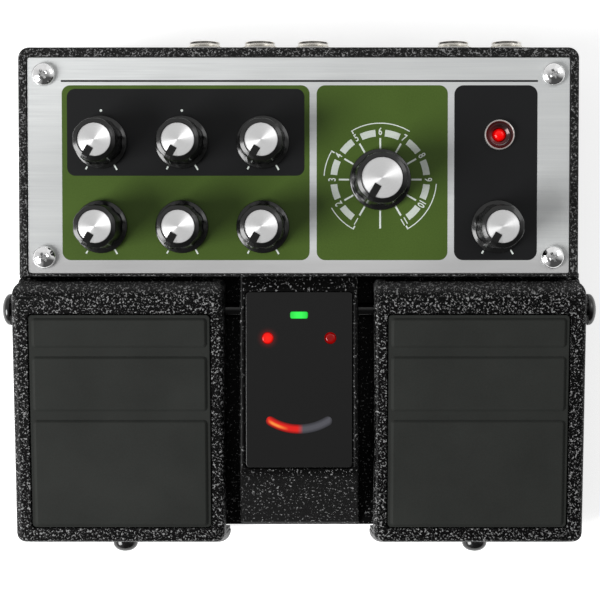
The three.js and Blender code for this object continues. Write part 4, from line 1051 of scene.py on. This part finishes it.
def front_skirt(side):
    """The drafted foot of the front wall, which stands further out than the solid's."""
    x, y, height = treadle_sizes(side)
    skirt = TREADLE_SKIRT
    behind = y[0] + skirt["wall"]
    radius = TREADLE_CORNER["front"]
    rings = []
    for grown, level in ((1, skirt["front"] + 0.1), (0, height(y[0]) - TREADLE_ROUND["other"] - 0.2)):
        side_out = TREADLE["draft"] * skirt["flare"] * grown + EASE
        front = y[0] - skirt["frontDraft"] * grown + EASE
        outline = rounded_rectangle((x[0] - side_out, x[1] + side_out), (front, y[1]), radius + side_out)
        rings.append(at_height(outline, level))
    body = Skin().loft(rings).mesh("skirt")
    keep = rounded_rectangle((x[0] - 5, x[1] + 5), (y[0] - 5, behind), 0.1, 1)
    return combine(body, Skin().prism(keep, 0, 60).mesh("keep"), "INTERSECT")


def roll_end(side):
    """The rolled rear end beyond the rounded outer corner."""
    _, y, _ = treadle_sizes(side)
    sign = -1 if side == "left" else 1
    across = sorted((sign * ROLL_END["in"], sign * ROLL_END["out"]))
    outline = rounded_rectangle(across, (y[1] - TREADLE["barrel"], y[1] + 1), 0.3)
    level = TREADLE_SKIRT["rear"] + 0.2
    return combine(Skin().prism(outline, level, 60).mesh("end"), treadle_roll(side), "INTERSECT")


def treadle(side):
    node = "treadle_" + side
    envelope = combine(treadle_block(side), treadle_roll(side), "INTERSECT")
    mesh = combine(closed_copy(node), envelope, "INTERSECT")
    mesh = union(mesh, front_skirt(side), roll_end(side))
    piece(node + "_casting", mesh, TREADLE_PAINT, node, [node], smooth=30)


def pad(side):
    """The rubber pad: a slab whose border slopes up to three fields, parted by bands and grooves."""
    node = "treadle_pad_" + side
    height = treadle_sizes(side)[2]
    low, high = box_mm(node)
    least, edge = PAD["inset"], PAD_FIELDS["edge"]
    rounding = edge_round(PAD["base"] - PAD["edge"], 4)
    levels = [(least, PAD["bottom"]), (least, PAD["edge"])]
    levels += [(least + inset, PAD["base"] - drop) for inset, drop in rounding]
    levels = [(inset, level, PAD["corner"] - inset) for inset, level in levels]
    meshes = [Skin().slab((low.x, high.x), (low.y, high.y), levels, height).mesh("slab")]
    rear = high.y - PAD_FIELDS["rearEdge"]
    for length in (*PAD_FIELDS["lengths"], None):
        front = low.y + edge / 2 if length is None else rear - length
        meshes.append(raised((low.x + edge, high.x - edge), (front, rear), height))
        rear = front - PAD_FIELDS["band"]
    piece(node + "_rubber", union(*meshes), RUBBER, "treadle_" + side, [node], smooth=40)


def raised(x, y, height):
    """A field that stands on the slab: a low bevel all round, softened where it meets the top."""
    bevel, rise = FIELD["bevel"], PAD["top"] - PAD["base"]
    shape = [(0, -0.4), (0, 0.02), (0.3, 0.42), (0.62, 0.8), (0.8, 0.95), (1, 1)]
    levels = [(share * bevel, PAD["base"] + up * rise) for share, up in shape]
    levels = [(inset, level, max(FIELD["corner"] - inset, 0.3)) for inset, level in levels]
    return Skin().slab(x, y, levels, height).mesh("field")


# The indicator window and its lamps
WINDOW = {"corner": 1.0, "round": 0.25, "thick": 2.0, "half": 25.25}
ARC_LIGHT = {"y": -21.4, "radius": 15.8, "width": 2.6, "spread": 36}
LAMP = {"x": 9.0, "y": -11.0, "radius": 1.65}
POWER = {"y": -4.4, "width": 5.0, "depth": 1.9}
FIT = 0.06
GUIDE_ROOT = -9.6
# Name and side of a round light, its core, rim, glow radius, body colour, roughness and eased edge
ROUND_LIGHTS = (
    ("effect", -1, (1.0, 0.02, 0.01), (0.3, 0.0, 0.0), 1.8, (0.3, 0, 0), 0.2, 0.5),
    ("tap", 1, (0.09, 0.006, 0.006), (0.20, 0.0, 0.0), 1.65, (0.12, 0, 0), 0.05, 0.9),
)


def window_frame():
    """The frame whose XY plane is the island's top."""
    lift = Matrix.Translation((0, FRONT_WALL_Y, ISLAND["rearZ"]))
    tilt = Matrix.Rotation(math.radians(ISLAND["slope"]), 4, "X")
    return lift @ tilt @ Matrix.Translation((0, -FRONT_WALL_Y, 0))


def arc_outline(margin):
    """A curved bar with round ends, inside the solid's square-ended one."""
    half, radius, centre = ARC_LIGHT["width"] / 2 + margin, ARC_LIGHT["radius"], (0, ARC_LIGHT["y"])
    spread = math.radians(ARC_LIGHT["spread"]) - ARC_LIGHT["width"] / 2 / radius

    def along(angle, reach):
        return (centre[0] + reach * sin(angle), centre[1] - reach * cos(angle))

    steps = 32
    sweep = [spread * (2 * i / steps - 1) for i in range(steps + 1)]
    outline = [along(a, radius + half) for a in sweep]
    for end, inwards in ((spread, 1), (-spread, -1)):
        middle = along(end, radius)
        for i in range(1, 8):
            turn = end - PI / 2 + i / 8 * PI if inwards > 0 else end + PI / 2 + i / 8 * PI
            outline.append(polar(middle, half, turn))
        if inwards > 0:
            outline += [along(a, radius - half) for a in reversed(sweep)]
    return outline


def power_outline(margin):
    x, y = POWER["width"] / 2 + margin, POWER["depth"] / 2 + margin
    return rounded_rectangle((-x, x), (POWER["y"] - y, POWER["y"] + y), 0.5 + margin)


def lamp_outline(side, margin):
    return circle(LAMP["radius"] + margin, 40, (side * LAMP["x"], LAMP["y"]))


def window():
    at = window_frame()
    low, high = box_mm("indicator_window")
    middle = (high.y + low.y) / 2
    y = (middle - WINDOW["half"], middle + WINDOW["half"])
    levels = [(0, -WINDOW["thick"], WINDOW["corner"])]
    levels += [(inset, -drop, WINDOW["corner"]) for inset, drop in edge_round(WINDOW["round"], 3)]
    plate = Skin().slab((low.x, high.x), y, levels).mesh("window")
    outlines = [arc_outline(FIT), power_outline(FIT), lamp_outline(-1, FIT), lamp_outline(1, FIT)]
    plate = cut(plate, *[Skin().prism(o, -4, 4).mesh("hole") for o in outlines])
    piece("smoked_window", plate, smoked(), "housing", ["indicator_window"], at)
    lamp_pieces(at)


def smoked():
    """Smoked acrylic with the red lamp's glow in it."""
    look = Look("smoked", grey(0.010), 0.16, Specular_IOR_Level=0.3, Emission_Strength=1.0)
    far = look.distance_from((-LAMP["x"], LAMP["y"], 0))
    halo = look.math("POWER", look.fade(far, 1.5, 3.6, 1, 0), 2.4)
    look.set("Emission Color", look.mix(halo, grey(0.0), (0.10, 0.001, 0.001)))
    return look.bump(look.noise(700, 2.0), 0.006, 0.2).material


def stand(outline, bottom, top, edge):
    """A light guide with an eased upper edge, drawn towards its own middle."""
    cx = sum(p[0] for p in outline) / len(outline)
    cy = sum(p[1] for p in outline) / len(outline)
    rings = [at_height(outline, bottom)]
    reach = max(math.hypot(x - cx, y - cy) for x, y in outline)
    for inset, drop in edge_round(edge, 4):
        share = 1 - inset / reach
        rings.append([(cx + (x - cx) * share, cy + (y - cy) * share, top - drop) for x, y in outline])
    return Skin().loft(rings).mesh("guide")


def lamp_pieces(at):
    """The light guides that stand in the window, each with its own glow."""
    green = Look("green_glow", (0.02, 0.2, 0.04), 0.4, Specular_IOR_Level=0.1, Emission_Strength=1.0)
    along = green.math("ABSOLUTE", green.axes(green.place)[0])
    share = green.fade(along, 0.6, 2.5)
    green.set("Emission Color", green.mix(share, (0.03, 0.80, 0.07), (0.01, 0.50, 0.03)))
    guide = stand(power_outline(0), GUIDE_ROOT, 0.0, 0.3)
    piece("power_light", guide, green.material, "housing", ["power_lamp"], at)
    for name, side, core, rim, radius, color, roughness, edge in ROUND_LIGHTS:
        centre = (side * LAMP["x"], LAMP["y"], 0)
        look = glow(name + "_glow", centre, core, rim, radius, 1.0, color, roughness)
        guide = stand(lamp_outline(side, 0), GUIDE_ROOT, 0.0, edge)
        piece(name + "_light", guide, look, "housing", [name + "_lamp"], at)
    guide = Skin().prism(arc_outline(0), GUIDE_ROOT, -0.02).mesh("arc")
    piece("arc_guide", guide, arc_glow(), "housing", ["arc_light"], at)


def arc_glow():
    """The curved light: lit red on the left with an orange streak; on the right the unlit guide glows with a
    painted grey sheen.
    """
    look = Look("arc_glow", grey(0.004), 0.3, Specular_IOR_Level=0.2, Emission_Strength=1.0)
    x, y, _ = look.axes(look.place)
    radius = look.length(x, look.math("SUBTRACT", y, ARC_LIGHT["y"] * MM))

    def across(larger):
        """How far a point lies from an arc, which is so much larger than the bar's middle line."""
        return look.apart(radius, (ARC_LIGHT["radius"] + larger) * MM)

    lit = look.fade(x, -0.5, 1.2, 1, 0)
    streak = look.times(look.fade(across(0.25), 0.1, 0.6, 1, 0), look.fade(x, -9.0, -7.8))
    hot = look.times(streak, look.fade(x, -6.0, -3.0, 1, 0))
    body = look.mix(look.fade(across(0), 0.5, 1.35), (0.74, 0.012, 0.008), (0.10, 0.002, 0.002))
    red = look.mix(hot, body, (1.0, 0.30, 0.05))
    # Painted sheen: the unlit right side glows grey, brightest along its middle line.
    painted_sheen = look.mix(look.fade(across(0), 0.4, 1.3), (0.085, 0.085, 0.10), (0.03, 0.03, 0.036))
    # Both ends fade to a faint painted grey glow.
    ends = look.fade(look.math("ABSOLUTE", x), 8.7, 9.9)
    look.set("Emission Color", look.mix(ends, look.mix(lit, painted_sheen, red), grey(0.016)))
    return look.material


# Rear wall: sockets, power inlet and button
JACK = {"half": (7.1, 5.5), "wall": 2.8, "thread": 4.6, "nut": 6.3, "nutGap": 0.3, "nutThick": 2.0}
JACK_BORE = {"radius": 3.25, "mouth": 3.6}
INLET = {"half": (4.7, 5.5), "wall": 2.5, "barrel": 4.2, "bore": 2.9, "depth": 9.0, "pin": 1.0}
BUTTON = {"half": 3.0, "stem": 1.5, "inside": 2.8, "lip": 1.1}


def threaded(start, end, radius, pitch=0.75, depth=0.28):
    """A profile whose ridges follow each other at a thread's pitch."""
    profile = []
    count = int((end - start) / pitch)
    for i in range(count):
        base = start + i * pitch
        profile += [(radius - depth, base), (radius, base + pitch * 0.4), (radius, base + pitch * 0.6)]
    profile += [(radius - depth, start + count * pitch), (radius - 0.1, end - 0.15), (radius - 0.25, end)]
    return profile


def centred(half, corner, steps):
    return rounded_rectangle((-half[0], half[0]), (-half[1], half[1]), corner, steps)


def sockets():
    wall = cast_high.y
    for name in ("expression", "output_b", "output_a", "input_b", "input_a"):
        node = "jack_" + name
        low, high = box_mm(node)
        middle = (low + high) / 2
        back = low.y
        place = Matrix.Translation((middle.x, back, middle.z)) @ facing("y")
        tip = high.y - back
        face = wall - JACK["wall"] - back
        body = bevelled(Skin().prism(centred(JACK["half"], 0.6, 4), 0, face).mesh("body"), 0.25, 2)
        bushing = Skin().turned(threaded(face - 0.5, tip, JACK["thread"]), 48).mesh("bushing")
        radius, mouth = JACK_BORE.values()
        profile = [(0, -1), (radius, -1), (radius, tip - 0.3), (mouth, tip + 0.05), (0, tip + 1)]
        bore = Skin().lathe(profile, 40).mesh("bore")
        mesh = cut(union(body, bushing, nut(wall + JACK["nutGap"] - back)), bore)
        piece(node + "_socket", mesh, NICKEL, "housing", [node], place, 30)


def nut(low):
    """A hexagonal nut whose corners a turned chamfer rounds."""
    corner = JACK["nut"] / cos(PI / 6)
    mesh = Skin().prism(circle(corner, 6), low, low + JACK["nutThick"]).mesh("nut")
    profile = [(corner - 0.4, low - 0.1), (corner, low + 0.3), (corner, low + 1.6), (6.4, low + 2.05)]
    return combine(mesh, Skin().turned(profile, 48).mesh("round"), "INTERSECT")


def power_parts():
    low, high = box_mm("power_inlet")
    middle = (low + high) / 2
    place = Matrix.Translation((middle.x, low.y, middle.z)) @ facing("y")
    length = high.y - low.y
    face, root = length - INLET["wall"], length - INLET["depth"]
    barrel, bore, pin = INLET["barrel"], INLET["bore"], INLET["pin"]
    body = Skin().prism(centred(INLET["half"], 0.5, 4), 0, face).mesh("body")
    profile = [(barrel, face - 1), (barrel, length - 0.2), (barrel - 0.2, length)]
    tube = Skin().turned(profile, 48).mesh("barrel")
    profile = [(0, root), (bore, root), (bore, length - 0.3), (bore + 0.3, length + 0.1), (0, length + 1)]
    hollow = Skin().lathe(profile, 40).mesh("bore")
    profile = [(0, root - 0.5), (pin, root - 0.5), (pin, length - 1.5), (pin - 0.3, length - 1.1)]
    profile.append((0, length - 1.0))
    mesh = union(cut(union(body, tube), hollow), Skin().lathe(profile, 24).mesh("pin"))
    piece("power_inlet_body", mesh, DARK_PLASTIC, "housing", ["power_inlet"], place, 30)

    low, high = box_mm("power_button")
    middle = (low + high) / 2
    wall = cast_high.y - BUTTON["inside"]

    def block(half, y, edge):
        return eased_block((middle.x - half, middle.x + half), y, (middle.z - half, middle.z + half), edge)

    cap = block(BUTTON["half"], (wall - BUTTON["lip"], high.y), 0.45)
    lip = eased_block((low.x, high.x), (wall - BUTTON["lip"], wall), (low.z, high.z), 0.2)
    stem = block(BUTTON["stem"], (low.y, wall - 0.6), 0.2)
    mesh = union(cap, lip, stem)
    piece("power_button_cap", mesh, DARK_PLASTIC, "power_button", ["power_button"])


def eased_block(x, y, z, edge):
    corners = [(x[0], y[0]), (x[1], y[0]), (x[1], y[1]), (x[0], y[1])]
    return bevelled(Skin().prism(corners, *z).mesh("block"), edge, 3)


# Underside and inside
FOOT = ((3.2, 0.35), (3.7, 0), (6.1, 0), (6.6, 0.15), (6.9, 0.5), (7.0, 1.0), (6.95, 2.3), (6.6, 2.7))
FOOT_PLUG = ((2.0, 2.7), (2.0, 4.6), (1.7, 4.9))
GRIP = {"count": 7, "first": 4.0, "pitch": 1.4, "width": 0.6, "half": 9.0, "rise": 0.35, "root": 0.3}
SPRING = {"wire": 0.6, "turns": 6, "steps": 28, "sides": 12}


def feet():
    for corner in ("front_left", "front_right", "rear_left", "rear_right"):
        node = "foot_" + corner
        middle = middle_of(node)
        place = Matrix.Translation((middle.x, middle.y, 0))
        mesh = Skin().turned(FOOT + FOOT_PLUG, 56).mesh("foot")
        piece(node + "_rubber", mesh, FOOT_RUBBER, "housing", [node], place)


def battery_door():
    """The lid with its two hooks and a ribbed grip at its front edge."""
    low, _ = box_mm("battery_cover")
    mesh = bevelled(closed_copy("battery_cover"), 0.15, 2)
    x, z = (-GRIP["half"], GRIP["half"]), (low.z - GRIP["rise"], low.z + GRIP["root"])
    starts = [low.y + GRIP["first"] + i * GRIP["pitch"] for i in range(GRIP["count"])]
    ribs = [eased_block(x, (y, y + GRIP["width"]), z, 0.12) for y in starts]
    mesh = union(mesh, *ribs)
    piece("battery_door", mesh, DARK_PLASTIC, "battery_cover", ["battery_cover"])


def springs():
    for side in ("left", "right"):
        node = "treadle_spring_" + side
        low, high = box_mm(node)
        wire, turns, per_turn, sides = SPRING.values()
        middle = (low + high) / 2
        radius = (high.x - low.x) / 2 - wire
        bottom, top = low.z + wire, high.z - wire
        rings = []
        count = turns * per_turn
        pitch = math.atan2((top - bottom) / turns, 2 * PI * radius)
        for i in range(count + 1):
            angle = i / per_turn * 2 * PI
            centre = Vector((radius * cos(angle), radius * sin(angle), bottom + (top - bottom) * i / count))
            out = Vector((cos(angle), sin(angle), 0))
            up = Vector((sin(angle) * sin(pitch), -cos(angle) * sin(pitch), cos(pitch)))
            around = [j / sides * 2 * PI for j in range(sides)]
            rings.append([centre + out * wire * sin(a) + up * wire * cos(a) for a in around])
        mesh = Skin().loft(rings).moved(Matrix.Translation((middle.x, middle.y, 0))).mesh("spring")
        made = piece(node + "_coil", mesh, SPRING_STEEL, "housing", [node])
        travel = joint(node.replace("spring_", "") + "_press")
        reach = abs(Vector(travel["pos_m"]).y / MM - middle.y) * sin(math.radians(max(travel["range_deg"])))
        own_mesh(made)


INNER = {
    "bottom_cover": COVER,
    "battery_tray": DARK_PLASTIC,
    "control_board": BOARD,
    "main_board": BOARD,
    "lamp_board": BOARD,
    "mode_switch": DARK_PLASTIC,
    "foot_switch_left": DARK_PLASTIC,
    "foot_switch_right": DARK_PLASTIC,
}


def carried_nodes():
    """Frame nodes whose own shape is right take only their finish."""
    for name, finish in INNER.items():
        node = frame["nodes"][name]
        node.data.materials.clear()
        node.data.materials.append(finish)


# Stage: floor, sky, lamps and camera
TENT = {"angle": math.radians(206), "front": 0.08, "rear": 0.85, "near": 0.5, "far": 0.4}
SOFT = (0.34, 0.26)  # what diffuse light sees of the sky, from low to straight up
FLOOR = {"half": 4000.0, "corner": 100, "glow": 0.62}
CAMERA = {"x": 6.6, "y": -0.05, "z": 512.0, "focal": 1670.0, "middle": 322.0, "frame": 600, "sensor": 36.0}


def floor():
    x = y = (-FLOOR["half"], FLOOR["half"])
    mesh = Skin().prism(rounded_rectangle(x, y, FLOOR["corner"]), -20, 0).mesh("floor")
    look = Look("floor", grey(0.86), 0.9, Specular_IOR_Level=0.0)
    path = look.node("ShaderNodeLightPath").outputs
    seen = look.plus(path["Is Camera Ray"], path["Is Glossy Ray"])
    seen = look.plus(seen, path["Is Transmission Ray"], clamp=True)
    look.set("Emission Color", (1, 1, 1, 1))
    look.set("Emission Strength", look.times(seen, FLOOR["glow"]))
    mesh.materials.append(look.material)
    linked("floor", mesh)


def sky():
    """White for the camera; for reflections a tent that is bright behind the object and dark before it."""
    world = bpy.data.worlds.new("studio")
    bpy.context.scene.world = world
    world.use_nodes = True
    graph = Graph(world.node_tree)
    background = graph.tree.nodes["Background"]
    background.inputs["Color"].default_value = (1, 1, 1, 1)
    path = graph.node("ShaderNodeLightPath").outputs
    x, y, z = graph.axes(graph.node("ShaderNodeTexCoord").outputs["Generated"])
    along = graph.plus(graph.times(x, cos(TENT["angle"])), graph.times(y, sin(TENT["angle"])))
    towards = graph.math("DIVIDE", along, graph.plus(graph.length(x, y), 0.001))
    walls = graph.ramp(y, -0.32, 0.5, TENT["front"], TENT["rear"])
    near = graph.ramp(towards, 0.6, 0.95, 0, TENT["near"])
    far = graph.ramp(towards, -0.6, -0.95, 0, TENT["far"])
    lobes = graph.times(graph.plus(near, far), graph.ramp(z, 0.75, 0.92, 1, 0))
    seen = graph.plus(walls, lobes, clamp=True)
    soft = graph.ramp(z, 0.5, 1.0, *SOFT)
    strength = graph.plus(path["Is Camera Ray"], path["Is Transmission Ray"], clamp=True)
    strength = graph.plus(strength, graph.times(path["Is Glossy Ray"], seen))
    strength = graph.plus(strength, graph.times(path["Is Diffuse Ray"], soft))
    graph.give(background.inputs["Strength"], strength)


def lamp(name, place, target, size, power):
    light = bpy.data.lights.new(name, "AREA")
    light.shape = "RECTANGLE"
    light.size, light.size_y = size[0] * MM, size[1] * MM
    light.energy = power
    made = linked(name, light)
    made.location = Vector(place) * MM
    aim = Vector(target) * MM - made.location
    made.rotation_euler = aim.to_track_quat("-Z", "Y").to_euler()


def camera():
    data = bpy.data.cameras.new("camera")
    data.sensor_width = CAMERA["sensor"]
    data.lens = CAMERA["focal"] / CAMERA["frame"] * CAMERA["sensor"]
    data.shift_x = (CAMERA["frame"] / 2 - CAMERA["middle"]) / CAMERA["frame"]
    data.clip_start, data.clip_end = 0.01, 20
    made = linked("camera", data)
    made.location = Vector((CAMERA["x"], CAMERA["y"], CAMERA["z"])) * MM
    bpy.context.scene.camera = made


def stage():
    floor()
    sky()
    lamp("key", (-880, -360, 740), (0, 0, 20), (600, 600), 18)
    lamp("fill", (850, 500, 750), (0, 0, 20), (500, 500), 2)
    camera()
    bpy.context.scene.view_settings.view_transform = "Standard"


housing()
control_plate()
prints()
dials()
panel_screws()
side_bolts()
peak()
for treadle_side in ("left", "right"):
    treadle(treadle_side)
    pad(treadle_side)
window()
sockets()
power_parts()
feet()
battery_door()
springs()
carried_nodes()
stage()
